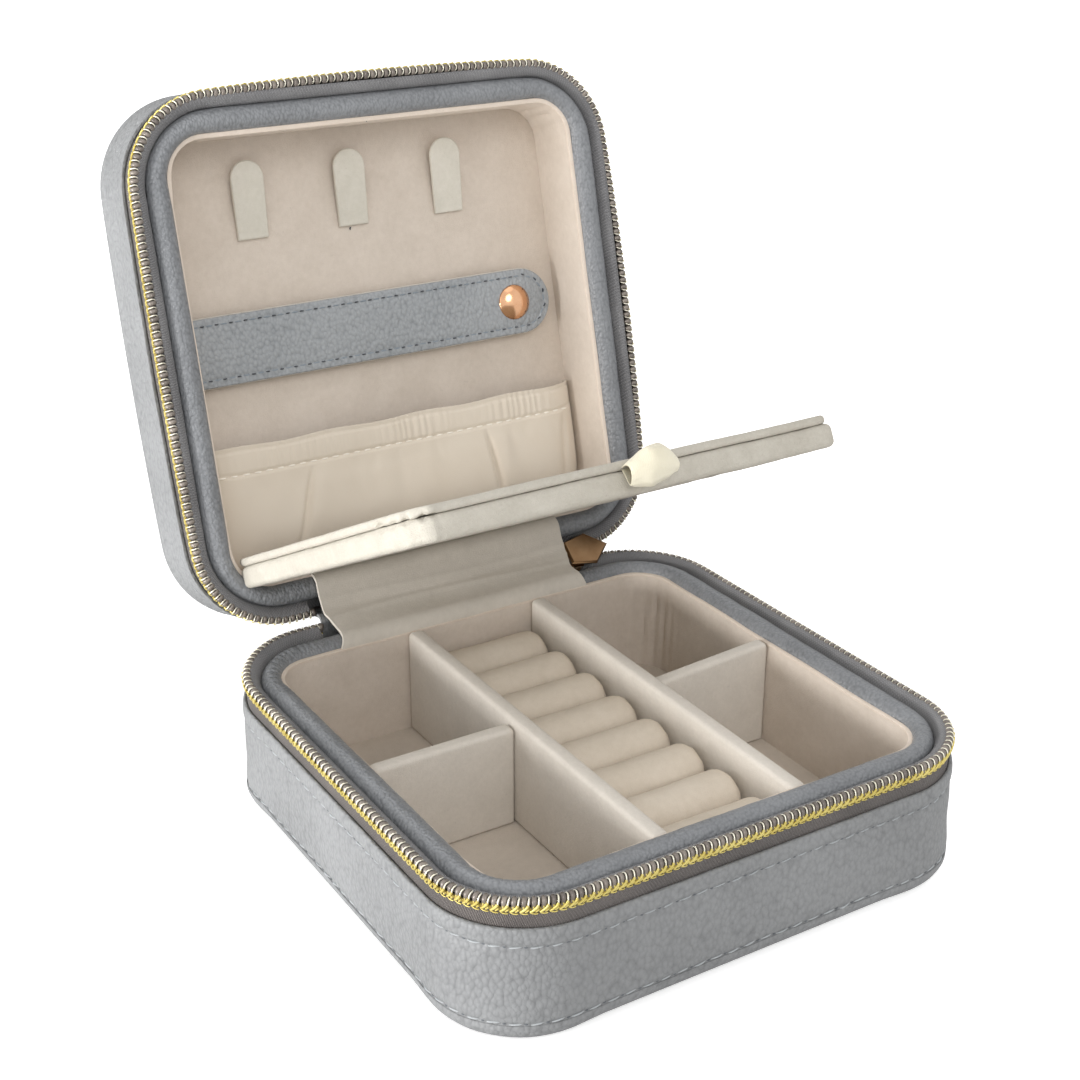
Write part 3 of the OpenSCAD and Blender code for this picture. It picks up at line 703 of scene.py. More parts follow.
# ---------------- the two halves of the case
def leather_shell(name, h, side):
    """Wall of leather with a soft hem above its stitches, rolled under at the bottom."""
    base = name == "base"
    top = h - COVER_LOW
    seam, low = top - 5.0, 6.0
    edge = 5.6 if base else 2.6

    def face(z):
        hem = 0.42 * sin(pi * min(max((z - seam) / (top - seam), 0), 1)) ** 0.8
        body = 0.28 * sin(pi * min(max((z - low) / (seam - low), 0), 1)) ** 0.6
        cut = 0.42 * exp(-((z - seam) / 0.55) ** 2) + 0.3 * exp(-((z - low) / 0.5) ** 2)
        if not base:  # the lid's wall is drawn smooth, with one row of stitches
            cut *= 0.5 * (z < seam - 3)
            hem, body = 0.1, 0.1
        return (hem if z > seam else body) - cut - 0.1

    heights = {round(top - 0.15 - i * (top - 4.3) / 34, 3) for i in range(35)}
    heights |= {z + dz for z in (seam, low) for dz in (0, -0.35, 0.35)}
    section = [(-1.0, top - 0.3), (-0.6, top)]
    section += [(face(z), z) for z in sorted(heights, reverse=True)]
    section += arc(-edge, edge, edge - 0.05, 0, -90, 7) + [(-9, 0.05), (-14, 0.25), (-14, 1.0)]
    section += arc(-edge, edge, edge - 1.0, -90, 0, 4)
    size = (CASE_W, CASE_D, CORNER_R)
    line = Outline(*size, side, BOWED[name])

    def shape(s, out, z):
        lumps = rough(columns(s, z * 2.0, out * 0), 9.0, 0.18, h)
        puffed = 0.9 * clamp((17 - z) / 17) ** 1.5 * clamp((out + 3) / 2)
        full = 1.3 * line.corner(s) * clamp((15 - z) / 15) * clamp((out + 7) / 3)
        return out + lumps * clamp(out + 1.3) * (z > 3.5) + (full if base else puffed), z

    finish_piece(ring(section, size, side, 2.0, shape, BOWED[name]), f"{name}_leather", name,
                 LEATHER, [f"{name}_side_cover"], 70)
    # the flat panel on the outer face, with a turned edge
    panel = round_slab(CASE_W - 24, CASE_D - 24, CORNER_R - 11, side, 120, 0.0, 1.2, 0.5)
    finish_piece(panel, f"{name}_outer_panel", name, LEATHER,
                 ["base_bottom_cover" if base else "lid_top_cover"], 50)
    # rows of stitches, two on the base and one on the lid
    count = int(round(line.length / STITCH))
    for row, z in (("upper", seam), ("lower", low))[0 if base else 1:]:
        # the base's low row follows its fuller corners
        on = Outline(*size, side, BOWED[name], 1.0 if base and row == "lower" else 0.0)
        stitches = thread(3.5, 0.25)
        x, y, up = points(stitches).T
        set_points(stitches, columns(x, y + (face(z) + 0.12), up * 0.8 + z + 0.12 * x))
        co = points(repeated(stitches, line.length / count, count, on, 1.0))
        co[:, 2] += rough(co * (1, 1, 0), 6.0, 0.45, z)
        set_points(stitches, co)
        finish_piece(stitches, f"{name}_stitches_{row}", name, THREAD, (), 60)
        # flat dark dots beside each stitch: painted shade in the needle holes
        dots = thread(0.8, 0.26)
        x, y, up = points(dots).T
        set_points(dots, columns(x, y * 0.3 + face(z) + 0.1, up + z))
        repeated(dots, line.length / count, count, on, 1.0 - STITCH / 2)
        finish_piece(dots, f"{name}_needle_hole_shades_{row}", name, SOFT_HOLE_SHADE, ())


def zip_half(name, h, side):
    """Woven tape, gold sewing threads and the coil's teeth along one half."""
    size = (CASE_W, CASE_D, CORNER_R)
    bow = BOWED[name]
    line = Outline(*size, side, bow)
    low, high = h - TAPE_LOW, h - TAPE_TOP

    def lifted(s, z=1e3):
        """The zip is drawn up along the base's right side and at its rear corners."""
        s = np.mod(s, line.length)
        left = 1.2 * clamp((95 - s) / 35)
        right = 0.5 * clamp((245 - (line.length - s)) / 40)
        rear = 0.6 * clamp((95 - (line.length - s)) / 35)
        return (left + right + rear) * (name == "base") * (z > h - 3.0)

    def notched(s, out, z):
        gap = np.minimum(s, line.length - s)
        top = np.where(s < line.length / 2, *NOTCHES)
        cut = clamp((top - gap) / 1.5)
        z = np.where(cut > 0, np.minimum(z, high - 4.0 * cut), z)
        return out, z + lifted(s, z)

    section = [(-1.05, z) for z in np.linspace(high, low, 9)]
    section += [(-1.8, z) for z in np.linspace(low, high, 9)]
    finish_piece(ring(section, size, side, 2.0, notched, bow), f"{name}_tape", name, TAPE,
                 [f"{name}_zip_tape"], 50)
    section = [(-1.85, -8), (-1.75, -0.75), (-2.2, -0.5), (-2.9, -0.65), (-3.7, -1.2),
               (-4.5, -2.1), (-5.05, -3.4), (-5.05, -6.2), (-3.4, -6.6)]
    inner = ring([(out, h + z) for out, z in section], size, side, 2.0, notched)
    finish_piece(inner, f"{name}_tape_inside", name, INNER_TAPE, (), 50)
    # the coil
    path = Outline(CASE_W - 2.8, CASE_D - 2.8, CORNER_R - 1.4, side, bow)
    run = path.length - ZIP_START - ZIP_END_GAP
    zc = h - COIL_LOW
    teeth = int(run / TOOTH)
    pitch = run / teeth

    def all_along(section, piece, mat):
        """A bar that lies under all the teeth."""
        obj = bar([(out, zc + z) for out, z in section], run, 220)
        wrap(obj, path, ZIP_START, False, lambda s, out, z: (out, z + lifted(s)))
        finish_piece(obj, f"{name}_{piece}", name, mat, (), 60)

    def each_tooth(unit, piece, mat, nodes=()):
        set_points(unit, points(unit) + (0, 0, zc))
        repeated(unit, pitch, teeth, path, ZIP_START + pitch / 2, lifted)
        finish_piece(unit, f"{name}_{piece}", name, mat, nodes, 80)

    # a dark bar under all the teeth: painted shade seen between the coil's turns
    all_along(circle(0.7, 10), "coil_core_shade", CORE_SHADE)
    # one turn of the coil, from the sewing line over the top and down inside
    turn = [(0.6, -1.25), (0.75, -0.55), (0.76, 0.08), (0.55, 0.55), (0.1, 0.78), (-0.45, 0.76),
            (-0.85, 0.42), (-0.98, -0.12), (-0.9, -0.8), (-0.6, -1.3)]
    lobe = wire_piece([(0.2 * i / 9 - 0.3, o, z) for i, (o, z) in enumerate(turn)], 0.36, 8, 1.7)
    each_tooth(lobe, "coil_turns", COIL, [f"{name}_zip_coil"])
    # a pale strand crosses over between two turns, going on from the gold thread
    strand = wire_piece([(0.6, 1.16, -0.35), (0.66, 1.08, 0.2), (0.74, 0.82, 0.7),
                         (0.82, 0.45, 0.92), (0.88, 0.15, 0.92)], 0.19, 6)
    over = wire_piece([(0.88, 0.15, 0.92), (0.8, -0.4, 0.88), (0.55, -0.84, 0.5),
                       (0.3, -1.02, 0.0)], 0.15, 6)
    each_tooth(joined("strand", [strand, over]), "coil_strands", SILVER)
    # gold sewing threads: broad leaning strands, finer ones between, and small loops below
    strands = [wire_piece([(-1.0, 0.6, -2.2), (-0.5, 0.92, -1.7), (0.05, 1.12, -1.15),
                           (0.4, 1.22, -0.65), (0.6, 1.22, -0.2)], 0.34, 6),
               wire_piece([(0.1, 0.65, -2.15), (0.45, 0.92, -1.65), (0.8, 1.04, -1.3)], 0.28, 6),
               wire_piece([(-0.1, 1.0, -1.3), (-0.35, 1.08, -0.9), (-0.45, 1.0, -0.5)], 0.2, 5),
               wire_piece([(-1.05, 0.46, -2.55), (-0.5, 0.6, -2.7), (0.0, 0.64, -2.76),
                           (0.5, 0.6, -2.7), (1.05, 0.46, -2.55)], 0.16, 5)]
    each_tooth(joined("gold", strands), "gold_thread", GOLD)
    # a gold band under the strands, darker than them: painted shade between the sewing threads
    all_along([(0.35, -2.3), (0.55, -2.05), (0.8, -1.6), (0.8, -1.25), (0.5, -1.1), (0.3, -2.3)],
              "gold_bed_shaded", GOLD_BED_SHADED)


def rim_roll(name, h, side):
    """Padded leather roll round the opening, creased where it turns the corners."""
    size = (RIM_W, RIM_D, RIM_R)
    line = Outline(*size, side)
    low, high = h - RIM_LOW, h - RIM_TOP
    section = [(-2.7, low)] + [(-2.75, z) for z in np.linspace(low + 1, high - 3.2, 4)]
    section += arc(0.55, high - 3.3, 3.3, 180, 0, 14)
    section += [(3.75, z) for z in np.linspace(high - 3.6, low + 2.2, 3)]
    section += [(4.6, low + 1.5), (6.5, low + 1.3), (6.6, low + 0.5), (3.0, low)]

    def shape(s, out, z):
        corner = line.corner(s)
        high_up = clamp((z - (high - 5)) / 4)
        band = clamp(1 - np.abs(out - 0.5) / 3.6)
        rear_left = gauss(s, 63, 15)
        others = 0.35 * corner * (1 - rear_left)
        crease = (1 - np.abs(np.sin(s * pi / 1.55 + 0.9 * np.sin(s * 0.7)))) ** 3
        dips = crease * (0.9 * rear_left * (1 if name == "base" else 0.4) + 0.5 * others)
        place = columns(s, out * 2.5, z)
        lumps = rough(place, 7.0, 0.14, h + 5) + rough(place, 2.2, 0.09, h + 9)
        z = z - dips * high_up * (0.5 + 0.5 * band) + lumps * high_up
        return np.where(out < 4.2, out * (1 - 0.17 * corner), out - 0.6 * corner), z

    finish_piece(ring(section, size, side, 0.5, shape), f"{name}_rim",
                 name, RIM_LEATHER, [f"{name}_rim_roll"], 70)


def wall_lining(name, h, side):
    """Velvet wall with soft padding; its turned edge stands inside the rim."""
    base = name == "base"
    size = (INNER_W, INNER_D, INNER_R)
    line = Outline(*size, side)
    low, high = 3.0, h - 3.0
    section = [(1.5, low), (0.0, low)]
    for z in np.linspace(low + 1, high - 2.0, 16):
        section.append((-0.22 * sin(pi * (z - low) / (high - low)) ** 0.7, z))
    section += [(0.02, high - 1.1), (0.1, high - 0.4), (0.4, high - 0.02), (0.8, high),
                (1.05, high - 0.4), (1.1, high - 3.4), (1.5, high - 4.5)]
    # folds gather in one corner: the base's rear right, the lid's front right
    middle = line.length - 63 if base else line.length / 2 + 62

    def set_back(s):
        """The lining's left side stands close behind the rim."""
        s = np.mod(s, line.length)
        return 0.85 * clamp((s - 62) / 8) * clamp((172 - s) / 8)

    def wave(s):
        return rough(columns(s, s * 0, s * 0), 17.0, 0.3, h + 31)

    def shape(s, out, z):
        t = clamp((z - low) / (high - low))
        fold = (1 - np.abs(np.sin((s - middle) * pi / 3.6 + 1.2 * t))) ** 2
        soft = rough(columns(s, z, out * 0), 12.0, 0.16, h + 20)
        depth = np.where(out < 0.6, 0.85 * gauss(s, middle, 9) * fold * np.sin(pi * t) ** 0.6
                         + 0.5 * soft * t * (1 - t) * 4, 0)
        return out + depth + set_back(s), z + wave(s) * (z > high - 2.0)

    finish_piece(ring(section, size, side, 0.8, shape), f"{name}_wall_velvet", name, LINING,
                 [f"{name}_lining"], 60)
    # the turned edge, a thin line on top of the wall, a little paler than the wall as painted
    # light
    section = [(1.25, -0.9), (1.25, 0.0), (1.1, 0.16), (0.1, 0.16), (-0.08, 0.02), (-0.1, -0.5),
               (0.3, -0.9)]
    edge = ring([(out, high + z) for out, z in section], size, side, 1.5,
                lambda s, out, z: (out + set_back(s), z + wave(s)))
    finish_piece(edge, f"{name}_turned_edge", name, EDGE, (), 40)
    # the pad on the floor
    pad = round_slab(INNER_W + 0.8, INNER_D + 0.8, INNER_R, side, 96, 3.0,
                     FLOOR if base else LID_FLOOR, 0.6)
    finish_piece(pad, f"{name}_floor_velvet", name, PAD if base else LINING,
                 ["base_floor_pad" if base else "lid_back_pad"], 50)


for half in HALVES:
    leather_shell(*half)
    zip_half(*half)
    rim_roll(*half)
    wall_lining(*half)


# ---------------- inside the base
def standing(x0, x1, top, thick, edge, r=2.0, rise=0.0):
    """A divider standing up along X, its top rising towards x1, its thickness along Y."""
    profile = [(x0, FLOOR), (x1, FLOOR)] + arc(x1 - r, top + rise - r, r, 0, 90, 4)
    profile += arc(x0 + r, top - r, r, 90, 180, 4)
    obj = slab(profile, -thick / 2, thick / 2, edge, 4)
    set_points(obj, points(obj)[:, (0, 2, 1)])
    return outwards(obj)


def dividers():
    for name, x in (("long_divider_left", -18.75), ("long_divider_right", 22.25)):
        piece = standing(-61.15, 61.2, DIVIDER_TOP, 4.8, 1.3)
        y, across, z = points(piece).T
        # its rear end rises to the wall's upper edge
        z += 1.6 * clamp((y - 50) / 11) ** 2 * (z > 25)
        set_points(piece, columns(x - across, y, z))
        finish_piece(outwards(piece), f"{name}_velvet", "base", DIVIDER, [name], 45)
    for name, x0, x1, y, rise in (("cross_divider_left", -WALL_X, -21.25, 3.5, 0.0),
                                  ("cross_divider_right", 24.75, WALL_X, 4.0, 2.2)):
        piece = standing(x0, x1, DIVIDER_TOP - 1.0, 4.2, 1.2, 1.8, rise)
        set_points(piece, points(piece) + (0, y, 0))
        finish_piece(piece, f"{name}_velvet", "base", DIVIDER, [name], 45)


def ring_rolls():
    pitch, r = 15.29, 7.47
    x0, x1 = -15.95, 19.45
    bed = slab([(-16.1, -61.1), (19.6, -61.1), (19.6, 61.1), (-16.1, 61.1)], FLOOR, 19.0, 0.8)
    finish_piece(bed, "ring_bed_velvet", "base", ROLL, ["ring_bed"], 45)
    for i in range(8):
        rng = random.Random(40 + i)
        roll = bar(circle(r, 32), x1 - x0, 36)
        co = points(roll)
        x = co[:, 0].copy()
        k = clamp(np.minimum(x, (x1 - x0) - x) / 4.6)
        scale = np.maximum((1 - (1 - k) ** 2.3) ** (1 / 2.3), 0.05)
        scale = scale * (1 - 0.012 * np.sin(pi * x / (x1 - x0)) * rng.uniform(0.5, 1.5))
        # gathers at the ends
        angle = np.arctan2(co[:, 2], co[:, 1])
        pleat = 1 - 0.05 * (1 - k) * (0.5 + 0.5 * np.sin(angle * 9 + i))
        co[:, 1:] *= (scale * pleat)[:, None]
        co += (x0, (i - 3.5) * pitch, 22.03)
        co += rough(co, 8.0, 0.12, i)[:, None]
        set_points(roll, co)
        close_ends(roll, co[:, 0])
        outwards(roll)
        set_uv(roll, points(roll)[:, :2])
        finish_piece(roll, f"ring_roll_{i + 1}_velvet", "base", ROLL, [f"ring_roll_{i + 1}"],
                     70)


dividers()
ring_rolls()


# ---------------- the soft hinge
def mirror_across(line):
    """The base's half of a line in Y and Z, then the lid's half, its mirror image."""
    u = np.array([-cos(radians(HALF_ANGLE)), sin(radians(HALF_ANGLE))])
    h = np.array([HINGE_Y, HINGE_Z])
    line = [np.array(p, float) for p in line]
    return line + [h + 2 * np.dot(p - h, u) * u - (p - h) for p in reversed(line)]


def resample(line, count):
    """A line's points at even steps, and its length."""
    line = np.array(line)
    step = np.linalg.norm(np.diff(line, axis=0), axis=1)
    far = np.concatenate([[0], np.cumsum(step)])
    even = np.linspace(0, far[-1], count)
    return columns(*(np.interp(even, far, line[:, k]) for k in (0, 1))), far[-1]


def folded_sheet(line, t, x0, x1, shape, count=61, steps=60):
    """A sheet whose middle line runs in Y and Z, carried along X."""
    line, length = resample(line, count)
    ahead = units(np.gradient(line, axis=0))
    beside = columns(-ahead[:, 1], ahead[:, 0])
    flat = [(t / 2, v) for v in np.linspace(0, length, count)]
    flat += [(-t / 2, v) for v in np.linspace(length, 0, count)]
    obj = bar(flat, x1 - x0, steps)
    co = points(obj)
    add_uv(obj, co)
    close_ends(obj, co[:, 0])
    x, off, v = points(obj).T
    x, lift = shape(x + x0, v / length)
    k = v / length * (count - 1)
    low = np.clip(np.floor(k).astype(int), 0, count - 2)
    part = (k - low)[:, None]
    centre = line[low] * (1 - part) + line[low + 1] * part
    side = beside[low] * (1 - part) + beside[low + 1] * part
    set_points(obj, columns(x, centre + side * (off + lift)[:, None]))
    return outwards(obj)


def hinge_cloth():
    top = BASE_H - 0.4
    bend = (INNER_D / 2 + 3.85, top - 2.3)
    k = (HINGE_Y - bend[0]) / cos(radians(HALF_ANGLE))
    sag = (bend[0], BASE_H + k * sin(radians(HALF_ANGLE)))
    path = [(INNER_D / 2 + 0.9, top - 3.9), (INNER_D / 2 + 0.55, top - 2.9)]
    path += arc(*bend, 3.2, 176, 90, 8)
    path += arc(*sag, sag[1] - bend[1] - 3.2, -86, -HALF_ANGLE - 2, 6)

    def shape(x, v):
        # the side edges swing out towards the base and the lid
        wide = np.where(v < 0.5, clamp((0.5 - v) / 0.5), 0)
        left = -41.0 + 1.6 * np.sin(wide * pi) - 1.0 * wide
        right = 40.0 - 1.8 * np.sin(wide * pi) + 0.6 * wide
        u = (x + 41.0) / 81.0
        crease = -0.35 * gauss(v - 0.44 - 0.03 * np.sin(u * 5), 0, 0.03)
        crease += 0.30 * gauss(v - 0.52 - 0.02 * np.sin(u * 7 + 1), 0, 0.035)
        crease -= 0.28 * gauss(v - 0.62 - 0.03 * np.sin(u * 4 + 2), 0, 0.03)
        crease += 0.22 * np.sin(u * 9 + v * 12) * np.sin(pi * v)
        return left + (right - left) * u, -crease * 0.7 * np.sin(pi * v)

    cloth_sheet = folded_sheet(mirror_across(path), 1.0, -41.0, 40.0, shape)
    finish_piece(cloth_sheet, "hinge_velvet", None, SHEET, ["hinge_sheet"], 60)
    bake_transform(cloth_sheet)
    # leather spine behind it
    r = 1.9
    path = [(HINGE_Y - r, BASE_H - 8.2), (HINGE_Y - r, BASE_H - 4), (HINGE_Y - r, BASE_H - 1)]
    path += arc(HINGE_Y, BASE_H, r, 180, 184 - HALF_ANGLE, 6)
    spine = folded_sheet(mirror_across(path), 1.0, -42.0, 40.0, lambda x, v: (x, 0.0), 41, 40)
    finish_piece(spine, "hinge_leather", None, LEATHER, ["hinge_spine"], 60)
    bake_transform(spine)


hinge_cloth()


# ---------------- inside the lid
def necklace_tabs():
    for i, x in enumerate((-34.75, -3.0, 28.75)):
        plan = [(x - 4.7, 32.95), (x + 4.7, 32.95)] + arc(x, 49.95, 5.0, 0, 180, 20)
        tab = slab(plan, 0.0, 1.5, 0.6, 4)
        inset_top(tab, (0.9, 0.0), (0.8, 0.1), (1.4, 0.06))
        co = points(tab)
        # the lower end is sewn flat to the pad and the round end stands free
        co[:, 2] += LID_FLOOR + 2.6 * clamp((co[:, 1] - 34.5) / 20) ** 0.8 - 0.1
        set_points(tab, co)
        finish_piece(tab, f"tab_{i + 1}_velvet", "lid", TAB, [f"necklace_tab_{i + 1}"],
                     50)
    # ends of sewing thread below the middle tab and at the top of the lining, dark with the
    # needle holes' painted shade
    ends = [thread(0.9, 0.22), thread(1.0, 0.24)]
    for piece, place in zip(ends, ((-4.2, 32.2, LID_FLOOR + 0.3), (-2.6, 61.6, 22.6))):
        piece.data.transform(Matrix.Translation(place) @ Matrix.Rotation(1.2, 4, "Z"))
    finish_piece(joined("ends", ends), "thread_ends", "lid", HOLE_SHADE, ())


def strap_plan(end, y, width):
    """Plan of a strip from the wall to a round end."""
    r = width / 2
    return [(-WALL_X, y - r)] + arc(end - r, y, r, -90, 90, 24) + [(-WALL_X, y + r)]


def earring_strap():
    y, w, end = STRAP_Y, 20.0, 57.95
    low, high = 6.8, 8.7
    back = slab(strap_plan(end, y, w), low - 0.2, high - 0.6, 0.15, 2)
    finish_piece(back, "strap_backing", "lid", CUT_EDGE, (), 40)
    face = slab(strap_plan(end - 0.25, y, w - 0.5), high - 0.75, high + 0.1, 0.35, 3)
    inset_top(face, (1.6, 0.12), (0.35, -0.16), (0.35, 0.16), (1.4, 0.12))
    finish_piece(face, "strap_leather", "lid", STRAP_LEATHER, ["earring_strap"], 40)
    root = slab([(-WALL_X, y - 9.7), (-59.9, y - 9.7), (-59.9, y + 9.7), (-WALL_X, y + 9.7)],
                LID_FLOOR - 0.1, low + 0.1, 0.2)
    finish_piece(root, "strap_root", "lid", STRAP_LEATHER, (), 40)
    # stitches along both sides and round the end
    r = w / 2 - 2.3
    middle = end - w / 2
    straight = middle + 60.0
    total = 2 * straight + pi * r
    count = int(total / 4.3)

    def along_edge(ahead):
        """Places of the stitches, or of something a little ahead of each."""
        for k in range(count):
            s = (k + 0.5) * total / count
            turn = min(max((s - straight) / r, 0.0), pi)
            x = -60.0 + s if s < straight else middle + r * sin(turn)
            if turn == pi:
                x = middle - (s - straight - pi * r)
            sideways = y + r if turn == pi else y - r * cos(turn)
            yield x + ahead * cos(turn), sideways + ahead * sin(turn), high + 0.14 - 0.06, turn

    finish_piece(sewn(thread(3.0, 0.26), along_edge(0.0)), "strap_stitches", "lid",
                 STRAP_THREAD, (), 60)
    # flat dark marks between the stitches: painted shade in the needle holes
    hole = thread(1.7, 0.85)
    set_points(hole, points(hole) * (1, 1, 0.25))
    finish_piece(sewn(hole, along_edge(2.15)), "strap_needle_holes", "lid", HOLE_SHADE, (),
                 60)


def snap():
    """Domed cap with a turned rim, made by spinning its profile."""
    profile = [(0.001, 2.62), (1.2, 2.56), (2.4, 2.32), (3.5, 1.9), (4.4, 1.32), (4.95, 0.8),
               (5.2, 0.62), (5.32, 0.35), (5.2, 0.05), (4.6, -0.05), (0.001, -0.05)]
    obj = traced([(x, 0, z) for x, z in profile])
    bpy.ops.mesh.spin(steps=48, angle=2 * pi, center=(0, 0, 0), axis=(0, 0, 1))
    mode("OBJECT")
    outwards(obj)
    set_points(obj, points(obj) + (SNAP_X, STRAP_Y, 8.72))
    finish_piece(obj, "snap_cap_dome", "lid", ROSE, ["snap_cap"], 50)


def pocket():
    """Gathered cloth pocket with an elastic band at its mouth."""
    y0, y1, mouth, half = -61.1, -24.0, -32.0, 62.1
    start()
    nx, ny = ((300, 84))
    bpy.ops.mesh.primitive_grid_add(x_subdivisions=nx, y_subdivisions=ny, size=2)
    obj = bpy.context.object
    co = points(obj)
    u, v = co[:, 0], (co[:, 1] + 1) / 2
    x = u * half
    y = y0 + (y1 - y0) * v
    set_uv(obj, columns(x, y))
    side = (1 - np.abs(u) ** 9) ** (1 / 2.2)
    foot = (1 - (1 - clamp(v / 0.42)) ** 2.6) ** (1 / 2.0)
    out = 7.3 * np.maximum(side, 0) * foot
    in_band = clamp((y - mouth + 0.4) / 0.8)
    below = clamp((mouth - y) / (mouth - y0))
    # folds start at the gathers and die away downwards, each with its own slant
    rng = random.Random(7)
    folds = np.zeros(len(x))
    for _ in range(34):
        cx, wide, deep = rng.uniform(-58, 58), rng.uniform(0.9, 2.6), rng.uniform(0.2, 0.75)
        lean, far = rng.uniform(-9, 9), rng.uniform(0.2, 0.75)
        folds += 0.45 * deep * gauss(x + lean * below, cx, wide * (1 + below)) * clamp(
            1 - below / far) ** 0.8 * rng.choice((-1, 1, -1))
    for cx, wide, deep, lean in ((-30, 0.8, 1.5, 9), (27.6, 0.8, 1.6, -4), (56.5, 1.0, 1.2, 2),
                                 (-27, 3.4, -0.7, 9), (31.5, 3.4, -0.8, -4), (-2, 3.0, 0.35, 2)):
        folds -= deep * gauss(x + lean * below, cx, wide * (1 + 0.6 * below)) * np.sin(
            pi * clamp(below * 1.05)) ** 0.7
    out += folds * (1 - in_band) * side * clamp(below * 6)
    # the band is drawn in, with fine upright gathers
    waves = np.sin(x * 2 * pi / 2.3 + 1.5 * np.sin(x * 0.31) + 0.8 * np.sin(x * 0.83))
    swell = np.sin(pi * clamp((y - mouth) / (y1 - mouth)))
    strong = 0.1 + 0.08 * np.sin(x * 0.17 + 1)
    out += in_band * (-0.3 + (strong * waves + 0.25) * (0.45 + 0.55 * swell) * side)
    out -= 0.55 * gauss(y, mouth, 0.5) * side
    out -= 0.35 * gauss(y, y1 - 1.2, 0.35) * in_band
    y = y + in_band * (0.3 * np.sin(x * 0.21) + 0.05 * waves) * (v > 0.95)
    depth = 1.15 * (1 - np.abs(u) ** 2) * clamp(below * 5) * np.sin(pi * below)
    # the corners follow the lid's round corners
    r = INNER_R
    low_y = np.where(np.abs(x) > half - r, y0 + r - np.sqrt(np.maximum(
        r * r - (np.abs(x) - half + r) ** 2, 0)), y0)
    y = low_y + (y - y0) * (y1 - low_y) / (y1 - y0)
    up = LID_FLOOR + out + depth
    set_points(obj, columns(x, y, LID_FLOOR + 0.1 + out + depth))
    apply_modifier(obj, "SOLIDIFY", thickness=0.7, offset=-1.0)
    finish_piece(obj, "pocket_gathered", "lid", POCKET, ["pocket_cloth", "pocket_band"],
                 60)
    # running stitch along the foot of the band
    count = int(118 / 3.4)
    row = [-59 + (k + 0.5) * 118 / count for k in range(count)]
    row = sewn(thread(2.1, 0.26), [
        (at, mouth, up[np.argmin(np.hypot(x - at, y - mouth))] + 0.32, 0.0) for at in row])
    finish_piece(row, "pocket_stitches", "lid", WHITE_THREAD, (), 60)


necklace_tabs()
earring_strap()
snap()
pocket()


# ---------------- the panel and its ribbon
def panel_ply(name, z, t, w, d, dx, seed):
    """One velvet board of the panel, its front left corner worn and gathered."""
    r, rx, ry = 4.6, 8.0, 18.0          # the front left corner is worn rounder
    x0, x1 = dx - w / 2, dx + w / 2
    y0, y1 = PANEL_MID_Y - d / 2, PANEL_MID_Y + d / 2
    worn = [(x0 + rx + rx * a, y0 + ry + ry * b) for a, b in arc(0, 0, 1, 180, 270, 24)]
    plan = worn + arc(x1 - r, y0 + r, r, 270, 360, 8) + arc(x1 - r, y1 - r, r, 0, 90, 8)
    plan += arc(x0 + r, y1 - r, r, 90, 180, 8)
    even, _ = resample(plan + plan[:1], 601)
    ply = slab(even[:-1], PANEL_Z + z, PANEL_Z + z + t, min(t * 0.42, 1.7), 5)
    mode("EDIT")
    for k in range(-6, 7):
        for axis in ((1, 0, 0), (0, 1, 0)):
            bpy.ops.mesh.select_all(action="SELECT")
            bpy.ops.mesh.bisect(plane_co=(k * 9.0 + 0.7, k * 9.0 + 0.7, 0), plane_no=axis)
    mode("OBJECT")
    co = points(ply)
    # the cover is a little uneven along its edges
    mid = PANEL_Z + z + t / 2
    co[:, 2] = mid + (co[:, 2] - mid) * (1 + rough(co, 5.0, 0.06, seed))
    co[:, 2] += rough(co * (1, 1, 0), 30.0, 0.22, 3)
    # round that corner it is gathered, and the slit gapes between the gathers
    a = clamp((x0 + rx - co[:, 0]) / rx)
    b = clamp((y0 + ry - co[:, 1]) / ry)
    run = 21.0 * np.arctan2(b, a + 1e-9) / (pi / 2) + np.maximum(co[:, 0] - x0 - rx, 0)
    rim = clamp((np.hypot(a, b) - 0.84) / 0.1)
    out = columns(-a / rx, -b / ry)
    out /= np.maximum(np.linalg.norm(out, axis=1), 1e-6)[:, None]
    near = clamp((run + 1) / 2) * clamp((27 - run) / 6) * rim * (a + b > 0)
    fold = rough(columns(run, co[:, 2] * 0.25, run * 0), 1.7, 0.5, seed + 7)
    gape = sum(much * gauss(run, at, wide)
               for at, much, wide in ((2.2, 0.8, 1.5), (6.8, 0.5, 1.1), (10.8, 0.65, 1.1),
                                      (16.2, 0.6, 1.2), (19.8, 0.35, 2.0)))
    edge = clamp(1 - np.abs(co[:, 2] - (PANEL_Z + 3.7)) / 2.0)
    co[:, :2] += out * (near * fold - gape * near * edge * 0.8)[:, None]
    co[:, 2] += gape * near * edge * (0.9 if seed == 2 else -1.1)
    set_points(ply, co)
    finish_piece(ply, f"{name}_velvet", "panel", PLY, [name], 50)


